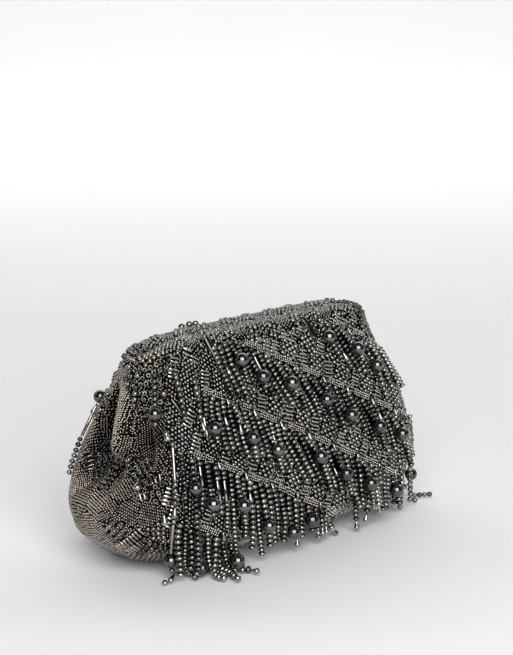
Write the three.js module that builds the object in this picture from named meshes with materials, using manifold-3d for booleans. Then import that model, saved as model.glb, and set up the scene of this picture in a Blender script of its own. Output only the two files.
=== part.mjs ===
// Beaded evening clutch: a soft pouch on a flat base, gathered to a straight framed mouth,
// with tiers of bead fringe on both faces. Millimetres, +Z up, front towards -Y,
// origin at the middle of the base on the surface that it stands on.
import * as THREE from 'three';
import { mergeVertices } from 'three/addons/utils/BufferGeometryUtils.js';
import Module from 'manifold-3d';

const wasm = await Module();
wasm.setup();

// Cloth
const WALL = 1.8;
const BASE_THICKNESS = 2;
const SEAM_GAP = 0.6;
const NORMAL_STEP = 0.02;
const MERGE = 1e-3;
const RIDGE_RISE = 0.00015;

// Rolled mouth: the cloth goes over a frame ring with straight sides and half-round ends, and hangs
// down inside; the ring falls towards its ends
const RIDGE_HEIGHT = 136.5;
const ROLL_RADIUS = 6.5;
const MOUTH_HALF_STRAIGHT = 77;
const MOUTH_HALF_GAP = 3;
const FRAME_HALF_DEPTH = MOUTH_HALF_GAP + ROLL_RADIUS;
const FRAME_REACH = MOUTH_HALF_STRAIGHT + FRAME_HALF_DEPTH;
const LIP_DEPTH = 12;
const ROLL_STEPS = 5;
const CORNER_DROP = { near: 8, far: 3 };
const CORNER_START = 70;
const CORNER_POWER = 6;
const FRAME_BAR_RADIUS = 3.4;
const FRAME_LIFT = 0.5;
const FRAME_SIDES = 6;
const FRAME_COLUMNS = 12;

// Level sections of the cloth's outer face, from the base up: reach of the near end (-X), far end (+X),
// front (-Y) and back (+Y), and the power that squares the outline
const SECTIONS = [
  { z: 2.4, near: 84, far: 91, front: 20, back: 28, square: 2.6 },
  { z: 5, near: 96, far: 103, front: 31, back: 40, square: 2.6 },
  { z: 12, near: 110, far: 115, front: 44, back: 51, square: 2.6 },
  { z: 24, near: 122, far: 123, front: 53, back: 57, square: 2.6 },
  { z: 37, near: 125, far: 125, front: 53, back: 58, square: 2.7 },
  { z: 51, near: 120, far: 123, front: 49, back: 56, square: 3.2 },
  { z: 65, near: 110, far: 120, front: 45, back: 53, square: 4 },
  { z: 79, near: 104, far: 116, front: 39, back: 47, square: 4.5 },
  { z: 93, near: 101, far: 108, front: 34, back: 38, square: 4.5 },
  { z: 107, near: 98, far: 101, front: 28, back: 29, square: 4.2 },
  { z: 119, near: 96, far: 96, front: 22, back: 22, square: 3.6 },
];

// Folds of the end gussets by height: how far the middle pleat stands out, or is drawn in below
// its foot, and how deep the hollows on its front and back sides are
const FOLDS = [
  { z: 0, pleat: 0, front: 0, back: 0 },
  { z: 44, pleat: 0, front: 0, back: 0 },
  { z: 52, pleat: -2, front: 2, back: 6 },
  { z: 58, pleat: -7, front: 5, back: 13 },
  { z: 64, pleat: -10, front: 10, back: 18 },
  { z: 70, pleat: -6, front: 15, back: 21 },
  { z: 75, pleat: 0, front: 18, back: 21 },
  { z: 81, pleat: 4, front: 18, back: 19 },
  { z: 93, pleat: 4, front: 11, back: 14 },
  { z: 107, pleat: 3, front: 4, back: 7 },
  { z: 119, pleat: 1, front: 1, back: 2 },
  { z: 128, pleat: 0, front: 0, back: 0 },
];
const PLEAT = { centre: -5, width: 10 };
const HOLLOW = { front: -0.57, back: 0.28, width: 0.18 };
const FOLD_FADE = 4;

// Heights of the wall's rows below the roll
const WALL_ROWS = [2.4, 5, 9, 15, 24, 34, 43, 50, 56, 61, 66, 71, 76, 82, 90, 100, 111, 119];
const PANEL_COLUMNS = 12;
const GUSSET_COLUMNS = 24;
const BASE_COLUMNS = 12;

// Bead fringe: every tier hangs along a line that falls by SLOPE; level is its height at x = 0,
// start and end are where it runs along the face
const SLOPE = 0.54;
const TIERS = [
  { level: 143, start: 46, end: 90 },
  { level: 99, start: -34, end: 98 },
  { level: 57, start: -80, end: 24 },
  { level: 13, start: -90, end: -54 },
];
const HEM = { start: -92, end: 98, top: 26, foot: 1, splay: 5, height: 12 };
const FRINGE_GAP = 0.8;
const FRINGE_THICKNESS = 4;
const FRINGE_EDGE = 1.2;
const FRINGE_ABOVE = 8;
const FRINGE_BELOW = 12;
const TOOTH = 4;
const TOOTH_PITCH = 9;
const FRINGE_ROWS = [0, 0.5, 1];
const PEARL = { radius: 4.3, pitch: 21, sides: 7, rings: 4, standOut: 0.25 };
const FULL_HEIGHT = 24;

const beadCloth = new THREE.MeshStandardMaterial({ color: 0x4c4a47, roughness: 0.35, metalness: 0.7 });
const baseCloth = new THREE.MeshStandardMaterial({ color: 0x15161c, roughness: 0.7, metalness: 0 });
const fringeBeads = new THREE.MeshStandardMaterial({ color: 0x3c3d3c, roughness: 0.22, metalness: 0.85 });
const frameMetal = new THREE.MeshStandardMaterial({ color: 0x9a9a9c, roughness: 0.35, metalness: 1 });

// Value of one column of a table at a height, on a smooth curve through its rows
function at(table, column, z) {
  const last = table.length - 1;
  if (z <= table[0].z) return table[0][column];
  if (z >= table[last].z) return table[last][column];
  const i = table.findIndex((row) => row.z > z) - 1;
  const rise = (k) => (table[k + 1][column] - table[k][column]) / (table[k + 1].z - table[k].z);
  const slope = (k) => {
    const before = rise(Math.max(k - 1, 0));
    const after = rise(Math.min(k, last - 1));
    return before * after > 0 ? (2 * before * after) / (before + after) : 0;
  };
  const step = table[i + 1].z - table[i].z;
  const t = (z - table[i].z) / step;
  const bend = t * t * (3 - 2 * t);
  const leave = t * (1 - t) * (1 - t) * step * slope(i);
  const arrive = t * t * (t - 1) * step * slope(i + 1);
  return table[i][column] + (table[i + 1][column] - table[i][column]) * bend + leave + arrive;
}

const bell = (u) => Math.exp(-u * u);

// Section of the pouch at a height below the roll
function sectionAt(z) {
  const section = { z };
  for (const column of ['near', 'far', 'front', 'back', 'square']) section[column] = at(SECTIONS, column, z);
  return section;
}

const squared = (w, power) => Math.max(0, 1 - Math.abs(w) ** power) ** (1 / power);

// How far the pouch has fallen at a place along its length
function fallAt(x, reach) {
  const drop = x < 0 ? CORNER_DROP.near : CORNER_DROP.far;
  return drop * Math.min(Math.abs(x) / reach, 1) ** CORNER_POWER;
}

// The whole pouch rises a little towards its far end
const risen = (x, y, z) => new THREE.Vector3(x, y, z * (1 + (RIDGE_RISE * x * z) / RIDGE_HEIGHT));

function fallenPoint(x, y, z, reach) {
  const ridge = Math.min(Math.max((z - CORNER_START) / (RIDGE_HEIGHT - CORNER_START), 0), 1);
  return risen(x, y, z - ridge * fallAt(x, reach));
}

// Point on the front (side -1) or back (side 1) panel, w from -1 to 1 along its length
function panelPoint(section, w, side) {
  const reach = w < 0 ? section.near : section.far;
  const depth = side < 0 ? section.front : section.back;
  return fallenPoint(w * reach, side * depth * squared(w, section.square), section.z, reach);
}

// Point on the near (side -1) or far (side 1) gusset, w from -1 at the front to 1 at the back
function gussetPoint(section, w, side) {
  const reach = side < 0 ? section.near : section.far;
  const y = w * (w < 0 ? section.front : section.back);
  const seam = 0.5 ** (1 / section.square);
  const inside = Math.max(0, 1 - (Math.abs(w) / seam) ** FOLD_FADE);
  const pleat = at(FOLDS, 'pleat', section.z) * bell((y - PLEAT.centre) / PLEAT.width);
  const frontHollow = at(FOLDS, 'front', section.z) * bell((w - HOLLOW.front) / HOLLOW.width);
  const backHollow = at(FOLDS, 'back', section.z) * bell((w - HOLLOW.back) / HOLLOW.width);
  const fold = inside * (pleat - frontHollow - backHollow);
  return fallenPoint(side * (reach * squared(w, section.square) + fold), y, section.z, reach);
}

// Point beside the frame ring, a distance outward and a distance up from its centre line;
// f runs from -1 to 1 along one straight side or round one end
function panelMouthPoint(f, side, out, up) {
  const x = f * MOUTH_HALF_STRAIGHT;
  const z = RIDGE_HEIGHT - ROLL_RADIUS - fallAt(x, FRAME_REACH) + up;
  return risen(x, side * (FRAME_HALF_DEPTH + out), z);
}

function gussetMouthPoint(f, side, out, up) {
  const turn = (f * Math.PI) / 2;
  const radius = FRAME_HALF_DEPTH + out;
  const centre = MOUTH_HALF_STRAIGHT + FRAME_HALF_DEPTH * Math.cos(turn);
  const z = RIDGE_HEIGHT - ROLL_RADIUS - fallAt(side * centre, FRAME_REACH) + up;
  return risen(side * (MOUTH_HALF_STRAIGHT + radius * Math.cos(turn)), radius * Math.sin(turn), z);
}

// Rows of the wall from the base up, over the roll and down inside the mouth. Each row gives the points
// of a panel and of a gusset, f from -1 at one seam to 1 at the other.
function wallRows() {
  const bodyRow = (z) => {
    const section = sectionAt(z);
    const seam = 0.5 ** (1 / section.square);
    return {
      panel: (f, side) => panelPoint(section, f * seam, side),
      gusset: (f, side) => gussetPoint(section, f * seam, side),
    };
  };
  const mouthRow = (out, up) => ({
    panel: (f, side) => panelMouthPoint(f, side, out, up),
    gusset: (f, side) => gussetMouthPoint(f, side, out, up),
  });
  const rows = WALL_ROWS.map(bodyRow);
  for (let i = 0; i < ROLL_STEPS; i += 1) {
    const turn = (Math.PI * i) / (ROLL_STEPS - 1);
    rows.push(mouthRow(ROLL_RADIUS * Math.cos(turn), ROLL_RADIUS * Math.sin(turn)));
  }
  rows.push(mouthRow(-ROLL_RADIUS, -LIP_DEPTH));
  return rows;
}

// Unit normal of a grid of points, on the left of its columns when its rows go up
function gridNormals(grid) {
  const clamp = (i, count) => Math.min(Math.max(i, 0), count - 1);
  return grid.map((row, r) =>
    row.map((_, c) => {
      const along = new THREE.Vector3().subVectors(row[clamp(c + 1, row.length)], row[clamp(c - 1, row.length)]);
      const above = grid[clamp(r + 1, grid.length)][c];
      const below = grid[clamp(r - 1, grid.length)][c];
      const up = new THREE.Vector3().subVectors(above, below);
      return along.cross(up).normalize();
    }),
  );
}

// Grid of points moved along given normals
function offsetGrid(grid, normals, distance) {
  return grid.map((row, r) => row.map((point, c) => point.clone().addScaledVector(normals[r][c], distance(r, c))));
}

// Closed solid between an outer grid and an inner grid of the same size, outer face to the normals' side
function slabGeometry(outer, inner) {
  const rows = outer.length;
  const columns = outer[0].length;
  const positions = [];
  for (const grid of [outer, inner]) for (const row of grid) for (const p of row) positions.push(p.x, p.y, p.z);
  const index = [];
  const id = (layer, r, c) => layer * rows * columns + r * columns + c;
  const quad = (a, b, c, d) => index.push(a, b, c, a, c, d);
  for (let r = 0; r + 1 < rows; r += 1) {
    for (let c = 0; c + 1 < columns; c += 1) {
      quad(id(0, r, c), id(0, r, c + 1), id(0, r + 1, c + 1), id(0, r + 1, c));
      quad(id(1, r, c), id(1, r + 1, c), id(1, r + 1, c + 1), id(1, r, c + 1));
    }
    quad(id(1, r, 0), id(0, r, 0), id(0, r + 1, 0), id(1, r + 1, 0));
    quad(id(0, r, columns - 1), id(1, r, columns - 1), id(1, r + 1, columns - 1), id(0, r + 1, columns - 1));
  }
  for (let c = 0; c + 1 < columns; c += 1) {
    quad(id(1, 0, c), id(1, 0, c + 1), id(0, 0, c + 1), id(0, 0, c));
    quad(id(0, rows - 1, c), id(0, rows - 1, c + 1), id(1, rows - 1, c + 1), id(1, rows - 1, c));
  }
  const geometry = new THREE.BufferGeometry();
  geometry.setAttribute('position', new THREE.Float32BufferAttribute(positions, 3));
  geometry.setIndex(index);
  return geometry;
}

// Cloth wall of one panel or gusset, from seam to seam
function clothWall(piece, side, columns) {
  const rows = wallRows();
  const forward = (piece === 'panel') === (side < 0) ? 1 : -1;
  const surface = (r, f) => rows[Math.min(Math.max(r, 0), rows.length - 1)][piece](f * forward, side);
  const normal = (r, f) => {
    const along = surface(r, f + NORMAL_STEP).sub(surface(r, f - NORMAL_STEP));
    const up = surface(r + 1, f).sub(surface(r - 1, f));
    return along.cross(up).normalize();
  };
  const places = rows.map((_, r) => {
    const edgeLength = surface(r, 1).distanceTo(surface(r, 1 - NORMAL_STEP)) / NORMAL_STEP;
    const reach = 1 - SEAM_GAP / 2 / edgeLength;
    return Array.from({ length: columns + 1 }, (__, c) => reach * ((2 * c) / columns - 1));
  });
  const outer = places.map((row, r) => row.map((f) => surface(r, f)));
  const normals = places.map((row, r) => row.map((f) => normal(r, f)));
  return slabGeometry(outer, offsetGrid(outer, normals, () => -WALL));
}

function solidOf(geometry) {
  const bare = geometry.clone();
  bare.deleteAttribute('normal');
  bare.deleteAttribute('uv');
  const merged = mergeVertices(bare, MERGE);
  return new wasm.Manifold(
    new wasm.Mesh({
      numProp: 3,
      vertProperties: new Float32Array(merged.attributes.position.array),
      triVerts: new Uint32Array(merged.index.array),
    }),
  );
}

function geometryOf(solid) {
  const mesh = solid.getMesh();
  const geometry = new THREE.BufferGeometry();
  geometry.setAttribute('position', new THREE.BufferAttribute(new Float32Array(mesh.vertProperties), 3));
  geometry.setIndex(new THREE.BufferAttribute(new Uint32Array(mesh.triVerts), 1));
  return geometry;
}

// Point of a face at a place along it and a height; below the fullest line it hangs straight down
function facePoint(x, z, side) {
  const section = sectionAt(Math.max(z, FULL_HEIGHT));
  const w = x / (x < 0 ? section.near : section.far);
  const point = panelPoint(section, w, side);
  const hang = Math.max(0, FULL_HEIGHT - z);
  const splay = Math.max(0, 1 - z / HEM.height) ** 2 * HEM.splay;
  return point.add(new THREE.Vector3(0, side * splay, -hang));
}

// Outward normal of a face at a place along it and a height
function faceNormal(x, z, side) {
  const along = facePoint(x - side, z, side).sub(facePoint(x + side, z, side));
  const up = facePoint(x, z + 1, side).sub(facePoint(x, z - 1, side));
  return along.cross(up).normalize();
}

// One fringe: a slab of strands with a toothed lower edge, and its large round beads
function fringe(side, start, end, topAt, bottomAt) {
  const columns = Math.round((end - start) / (TOOTH_PITCH / 2));
  const place = (c) => -side * (start + ((end - start) * c) / columns);
  const heights = (c) => {
    const top = topAt(-side * place(c));
    const bottom = bottomAt(-side * place(c)) + (c % 2 ? TOOTH : 0);
    return { top, bottom };
  };
  const grid = FRINGE_ROWS.map((rise) =>
    Array.from({ length: columns + 1 }, (_, c) => {
      const { top, bottom } = heights(c);
      return facePoint(place(c), bottom + (top - bottom) * rise, side);
    }),
  );
  const normals = gridNormals(grid);
  const last = FRINGE_ROWS.length - 1;
  const inner = offsetGrid(grid, normals, () => FRINGE_GAP);
  const outer = offsetGrid(grid, normals, (r) => FRINGE_GAP + (r === last ? FRINGE_EDGE : FRINGE_THICKNESS));
  let solid = solidOf(slabGeometry(outer, inner));
  const sphere = new THREE.SphereGeometry(PEARL.radius, PEARL.sides, PEARL.rings);
  const count = Math.floor((end - start) / PEARL.pitch);
  for (let i = 0; i < count; i += 1) {
    const x = start + ((i + 0.5) / count) * (end - start);
    const z = Math.max(PEARL.radius + HEM.foot, (topAt(x) + bottomAt(x)) / 2);
    const out = FRINGE_GAP + FRINGE_THICKNESS + PEARL.radius * PEARL.standOut;
    const centre = facePoint(-side * x, z, side).addScaledVector(faceNormal(-side * x, z, side), out);
    solid = solid.add(solidOf(sphere.clone().translate(centre.x, centre.y, centre.z)));
  }
  return geometryOf(solid);
}

// Points round a whole level outline: front panel, far gusset, back panel, near gusset
function outlinePoints(panel, gusset, columns) {
  const points = [];
  const run = (pointAt, side, forward) => {
    for (let c = 0; c < columns; c += 1) points.push(pointAt(forward * ((2 * c) / columns - 1), side));
  };
  run(panel, -1, 1);
  run(gusset, 1, 1);
  run(panel, 1, -1);
  run(gusset, -1, -1);
  return points;
}

// Flat base with the outline of the wall's foot
function baseGeometry() {
  const foot = wallRows()[0];
  const outline = new THREE.Shape(outlinePoints(foot.panel, foot.gusset, BASE_COLUMNS));
  return new THREE.ExtrudeGeometry(outline, { depth: BASE_THICKNESS, bevelEnabled: false });
}

// Frame ring that the mouth's cloth is rolled over: a bar bent to the mouth's outline
function frameGeometry() {
  const loops = Array.from({ length: FRAME_SIDES }, (_, k) => {
    const turn = (2 * Math.PI * k) / FRAME_SIDES;
    const out = FRAME_BAR_RADIUS * Math.cos(turn);
    const up = FRAME_BAR_RADIUS * Math.sin(turn) + FRAME_LIFT;
    const panel = (f, side) => panelMouthPoint(f, side, out, up);
    const gusset = (f, side) => gussetMouthPoint(f, side, out, up);
    return outlinePoints(panel, gusset, FRAME_COLUMNS);
  });
  const steps = loops[0].length;
  const index = [];
  for (let k = 0; k < FRAME_SIDES; k += 1) {
    for (let i = 0; i < steps; i += 1) {
      const [above, ahead] = [((k + 1) % FRAME_SIDES) * steps, (i + 1) % steps];
      index.push(k * steps + i, k * steps + ahead, above + ahead, k * steps + i, above + ahead, above + i);
    }
  }
  const ring = new THREE.BufferGeometry().setFromPoints(loops.flat());
  ring.setIndex(index);
  return ring;
}

const clutch = new THREE.Group();

function addPiece(name, geometry, material) {
  const mesh = new THREE.Mesh(geometry, material);
  mesh.name = name;
  clutch.add(mesh);
}

addPiece('base_panel', baseGeometry(), baseCloth);
addPiece('front_panel', clothWall('panel', -1, PANEL_COLUMNS), beadCloth);
addPiece('back_panel', clothWall('panel', 1, PANEL_COLUMNS), beadCloth);
addPiece('near_gusset', clothWall('gusset', -1, GUSSET_COLUMNS), beadCloth);
addPiece('far_gusset', clothWall('gusset', 1, GUSSET_COLUMNS), beadCloth);
addPiece('mouth_frame', frameGeometry(), frameMetal);

for (const [face, side] of [['front', -1], ['back', 1]]) {
  TIERS.forEach(({ level, start, end }, i) => {
    const topAt = (x) => level + FRINGE_ABOVE - SLOPE * x;
    const bottomAt = (x) => level - FRINGE_BELOW - SLOPE * x;
    addPiece(`${face}_fringe_${i + 1}`, fringe(side, start, end, topAt, bottomAt), fringeBeads);
  });
  addPiece(`${face}_hem_fringe`, fringe(side, HEM.start, HEM.end, () => HEM.top, () => HEM.foot), fringeBeads);
}

export default clutch;
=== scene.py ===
"""Looks of a beaded evening clutch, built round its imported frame.

A soft cloth pouch is paved with small metal-finished beads and hung with bead strands. Lengths in the
tables and classes are millimetres in the frame of the model: X along the clutch, front towards -Y, Z up.
Meshes are written in metres.
"""

import logging
import math
from dataclasses import dataclass, field
from enum import Enum
from typing import Callable, Iterator, NamedTuple, Optional, Sequence

import bpy
import numpy as np
from mathutils import Matrix, Vector
from mathutils.bvhtree import BVHTree
from mathutils.kdtree import KDTree


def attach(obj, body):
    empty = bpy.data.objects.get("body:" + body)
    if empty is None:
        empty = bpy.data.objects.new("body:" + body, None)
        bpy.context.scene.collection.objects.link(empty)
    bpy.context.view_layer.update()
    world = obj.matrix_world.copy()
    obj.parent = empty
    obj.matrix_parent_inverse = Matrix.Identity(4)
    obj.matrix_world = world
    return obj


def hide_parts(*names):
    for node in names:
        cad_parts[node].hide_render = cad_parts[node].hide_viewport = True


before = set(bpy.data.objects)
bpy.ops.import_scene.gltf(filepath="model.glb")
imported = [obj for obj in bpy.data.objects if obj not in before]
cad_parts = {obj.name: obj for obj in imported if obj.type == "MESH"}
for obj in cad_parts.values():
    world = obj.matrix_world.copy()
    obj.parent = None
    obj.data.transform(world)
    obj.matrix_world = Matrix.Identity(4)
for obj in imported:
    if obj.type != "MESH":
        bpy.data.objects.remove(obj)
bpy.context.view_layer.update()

LOG = logging.getLogger("clutch")
MM = 0.001
BODY = "root"
SEED = 1843
UP = np.array([0.0, 0.0, 1.0])

# Distance from which straight lines are cast at the cloth
CAST_FROM = 200.0

# Distance that keeps a division from zero
TINY = 1e-6

# Map units of the cloth to a millimetre
MAP_SCALE = 10 * MM

# How far flecks change a bead's shade, how far threads waver, and the scale of wear on the cloth
FLECK_DEPTH = 0.24
THREAD_WAVER = 0.6
WEAR_SCALE = 6.0

# Sockets of the mix and chance nodes, which are told apart by number
MIX_DARK, MIX_BRIGHT, MIXED = 6, 7, 2
LOW, HIGH, DRAWN = 2, 3, 1


class Face(Enum):
    """The four cloth walls, with the direction that each one faces."""

    FRONT = (0.0, -1.0, 0.0)
    FAR = (1.0, 0.0, 0.0)
    BACK = (0.0, 1.0, 0.0)
    NEAR = (-1.0, 0.0, 0.0)

    @property
    def outward(self) -> np.ndarray:
        """Direction that the wall faces."""
        return np.array(self.value)

    @property
    def right(self) -> np.ndarray:
        """Level direction to the right of a person who looks at the wall."""
        return np.cross(UP, self.outward)

    @property
    def is_panel(self) -> bool:
        """True for the two long walls."""
        return self in (Face.FRONT, Face.BACK)

    @property
    def word(self) -> str:
        """Plain word for the wall in piece names."""
        return self.name.lower()

    @property
    def node(self) -> str:
        """CAD node of the wall."""
        return f"{self.word}_panel" if self.is_panel else f"{self.word}_gusset"


class Shape(Enum):
    """Bead shapes. Each is one unit long, its thread along X and its outer side along Z."""

    SEED = "seed"
    DOT = "dot"
    ROUND = "round"
    RING = "ring"
    PEARL = "pearl"
    TUBE = "tube"
    BUGLE = "bugle"
    DROP = "drop"


class Weave(Enum):
    """Ways in which small beads are sewn down side by side."""

    SEEDS = "seeds"
    RINGS = "rings"
    LADDER = "ladder"
    MESH = "mesh"
    DOTS = "dots"
    GRAINS = "grains"


class Span(NamedTuple):
    """Range from which chance draws."""

    low: float
    high: float

    def draw(self, chance: np.random.Generator) -> float:
        """One even draw from the range."""
        return float(chance.uniform(self.low, self.high))


class Section(NamedTuple):
    """Level section of the cloth: reach of each wall, and the power that squares the outline."""

    z: float
    near: float
    far: float
    front: float
    back: float
    square: float


class Fold(NamedTuple):
    """Folds of the end walls at a height: pleat, hollows beside it, and the crease along the pleat."""

    z: float
    pleat: float
    front: float
    back: float
    crease: float


class Patch(NamedTuple):
    """Patch of sewn beads: place to the right of a wall's middle, height, weave and slant of its rows."""

    right: float
    z: float
    weave: Weave
    slant: float


class CellPatch(NamedTuple):
    """Patch above a dotted strip: its place along the strip and above it, weave and slant against it."""

    along: float
    above: float
    weave: Weave
    slant: float


class Stitch(NamedTuple):
    """How one weave is sewn: bead, its length, width and height, the pitches and the stagger of rows."""

    shape: Shape
    size: tuple[float, float, float]
    pitch: float = 1.0
    row_pitch: float = 1.0
    stagger: float = 0.0


class Spot(NamedTuple):
    """Place on the cloth with its outward normal and its wall."""

    point: np.ndarray
    normal: np.ndarray
    face: Face


class StrandBead(NamedTuple):
    """Bead on a hanging strand: its shape, length along the thread and width."""

    shape: Shape
    length: float
    width: float

    @property
    def stand(self) -> float:
        """Height of its centre over the floor: a drop may end on its tip."""
        return (self.length if self.shape is Shape.DROP else self.width) / 2


class PearlPlace(NamedTuple):
    """Large round bead of a strand: place to the right of the face's middle, height and width."""

    right: float
    z: float
    width: float


class Tier(NamedTuple):
    """Line of strands on a face: its height at the middle, and where it starts and ends."""

    level: float
    start: float
    end: float


class Shadow(NamedTuple):
    """Painted shade on end-wall beads in a fold, hollow or at the foot, or painted light below zero: place,
    half size and depth.
    """

    right: float
    z: float
    width: float
    height: float
    depth: float


class Single(NamedTuple):
    """Bead sewn on by itself: its wall, place, shape, size, slant and distance off the cloth."""

    wall: Face
    right: float
    z: float
    shape: Shape
    size: tuple[float, float, float]
    slant: float
    lift: float


class LooseStrand(NamedTuple):
    """Strand sewn on by itself: its fringe, wall, root, lean, beads as letters and turn on the floor."""

    fringe: Face
    wall: Face
    right: float
    z: float
    lean: float
    beads: str
    turn: float = 0.0


SECTIONS = (
    Section(2.4, 84, 91, 20, 28, 2.6),
    Section(5, 96, 103, 31, 40, 2.6),
    Section(12, 110, 115, 44, 51, 2.6),
    Section(24, 122, 123, 53, 57, 2.6),
    Section(37, 125, 125, 53, 58, 2.7),
    Section(51, 120, 123, 49, 56, 3.2),
    Section(65, 110, 120, 45, 53, 4.0),
    Section(79, 104, 116, 39, 47, 4.5),
    Section(93, 101, 108, 34, 38, 4.5),
    Section(107, 98, 101, 28, 29, 4.2),
    Section(119, 96, 96, 22, 22, 3.6),
)

FOLDS = (
    Fold(0, 0, 0, 0, 0),
    Fold(41, 0, 0, 0, 0),
    Fold(47, -2, 1, 4, 0),
    Fold(53, -8, 3, 12, 0),
    Fold(59, -12, 7, 19, 0),
    Fold(65, -11, 12, 22, 0),
    Fold(71, -3, 17, 22, 2.0),
    Fold(75, 2, 19, 21, 4.0),
    Fold(81, 4, 18, 19, 5.0),
    Fold(93, 4, 11, 14, 5.0),
    Fold(107, 3, 4, 7, 3.0),
    Fold(119, 1, 1, 2, 0),
    Fold(128, 0, 0, 0, 0),
)

STITCHES = {
    Weave.SEEDS: Stitch(Shape.SEED, (1.4, 1.6, 1.6), 1.38, 1.62, 0.5),
    Weave.RINGS: Stitch(Shape.RING, (3.6, 3.6, 3.1), 3.55, 3.55, 0.0),
    Weave.LADDER: Stitch(Shape.BUGLE, (5.6, 1.8, 1.8), 6.0, 2.4, 0.0),
    Weave.MESH: Stitch(Shape.ROUND, (2.9, 3.0, 2.9), 3.0, 3.0, 0.0),
    Weave.DOTS: Stitch(Shape.DOT, (1.0, 1.2, 1.2), 1.5, 1.45, 0.0),
    Weave.GRAINS: Stitch(Shape.SEED, (2.2, 2.3, 2.2), 2.3, 2.5, 0.5),
}

# Drop that hangs beside each dotted strip
HOOK = Stitch(Shape.DROP, (6.4, 3.6, 3.6))

# Patches above each dotted strip, charted
CELL_PATCHES = (
    CellPatch(2.0, 7.5, Weave.LADDER, 4),
    CellPatch(11.0, 8.5, Weave.MESH, 45),
    CellPatch(4.0, 19.0, Weave.MESH, 45),
    CellPatch(13.0, 19.0, Weave.LADDER, 0),
    CellPatch(0.5, 30.0, Weave.GRAINS, -18),
    CellPatch(9.5, 30.0, Weave.MESH, 45),
)

# Weaves that follow each other along the rolled top edge
RIDGE_WEAVES = (Weave.MESH, Weave.GRAINS, Weave.MESH, Weave.SEEDS)

# How much brighter or darker than the rest some weaves are
PANEL_TONES = {Weave.LADDER: 0.2}
GUSSET_TONES = {Weave.RINGS: -0.3, Weave.LADDER: -0.08}

# Middle of the shade of the beads that are sewn on one by one
SINGLE_TONES = {Shape.DROP: 0.85, Shape.TUBE: 0.06, Shape.ROUND: 0.4}

# Painted shade in the folds, the hollow and at the foot of the end walls, and painted light on the pleat,
# charted
PAINTED_SHADING = (
    Shadow(2, 95, 12.0, 22.0, -0.9),
    Shadow(14, 3, 36.0, 9.5, 0.95),
    Shadow(23, 83, 8.0, 8.5, 0.92),
    Shadow(-15, 72, 9.0, 16.0, 0.6),
    Shadow(-4, 60, 16.0, 8.0, 0.6),
)

# Patches of the end walls, charted from the top corner down
GUSSET_PATCHES = (
    Patch(-11, 130, Weave.RINGS, 0),
    Patch(-8, 126, Weave.RINGS, 0),
    Patch(6, 127, Weave.RINGS, -20),
    Patch(15, 128, Weave.RINGS, -30),
    Patch(0, 134, Weave.RINGS, 0),
    Patch(13, 119, Weave.RINGS, -60),
    Patch(7, 115, Weave.RINGS, -55),
    Patch(-4, 116, Weave.SEEDS, 70),
    Patch(-14, 118, Weave.SEEDS, 30),
    Patch(0, 107, Weave.SEEDS, 84),
    Patch(6, 98, Weave.SEEDS, 80),
    Patch(-6, 96, Weave.SEEDS, 88),
    Patch(3, 86, Weave.SEEDS, 96),
    Patch(12, 90, Weave.SEEDS, 75),
    Patch(-8, 82, Weave.SEEDS, 100),
    Patch(9, 77, Weave.SEEDS, 70),
    Patch(-2, 74, Weave.SEEDS, 60),
    Patch(15, 109, Weave.RINGS, 90),
    Patch(18, 113, Weave.RINGS, 90),
    Patch(21, 101, Weave.RINGS, 90),
    Patch(17, 86, Weave.SEEDS, 90),
    Patch(26, 92, Weave.SEEDS, -50),
    Patch(28, 81, Weave.SEEDS, -45),
    Patch(-1, 64, Weave.RINGS, 0),
    Patch(-9, 66, Weave.RINGS, 0),
    Patch(-9, 56, Weave.RINGS, 0),
    Patch(-18, 60, Weave.RINGS, 0),
    Patch(-1, 55, Weave.RINGS, 0),
    Patch(6, 61, Weave.LADDER, 0),
    Patch(13, 70, Weave.RINGS, 10),
    Patch(21, 73, Weave.SEEDS, 30),
    Patch(22, 65, Weave.RINGS, 40),
    Patch(31, 60, Weave.LADDER, -45),
    Patch(31, 72, Weave.SEEDS, -50),
    Patch(37, 55, Weave.RINGS, 20),
    Patch(-5, 55, Weave.SEEDS, -4),
    Patch(8, 56, Weave.SEEDS, -12),
    Patch(20, 54, Weave.SEEDS, -40),
    Patch(-11, 43, Weave.SEEDS, 5),
    Patch(6, 45, Weave.SEEDS, -12),
    Patch(18, 44, Weave.SEEDS, -38),
    Patch(28, 45, Weave.SEEDS, -24),
    Patch(36, 43, Weave.SEEDS, -15),
    Patch(0, 31, Weave.SEEDS, 14),
    Patch(11, 27, Weave.SEEDS, -30),
    Patch(21, 32, Weave.RINGS, -45),
    Patch(27, 26, Weave.LADDER, -48),
    Patch(34, 21, Weave.RINGS, -30),
    Patch(38, 31, Weave.MESH, 0),
    Patch(-17, 21, Weave.LADDER, 62),
    Patch(-6, 16, Weave.SEEDS, 8),
    Patch(9, 13, Weave.SEEDS, -14),
    Patch(23, 12, Weave.MESH, -20),
    Patch(0, 6, Weave.MESH, 0),
    Patch(-18, 8, Weave.MESH, 0),
    Patch(-22, 110, Weave.SEEDS, 80),
    Patch(-25, 92, Weave.RINGS, 90),
    Patch(-18, 84, Weave.SEEDS, 90),
    Patch(-28, 74, Weave.SEEDS, 30),
    Patch(-33, 60, Weave.LADDER, 40),
    Patch(-24, 48, Weave.SEEDS, 24),
    Patch(-36, 46, Weave.SEEDS, 10),
    Patch(-26, 34, Weave.SEEDS, -18),
    Patch(-38, 28, Weave.MESH, 0),
    Patch(-32, 16, Weave.SEEDS, 0),
)
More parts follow.
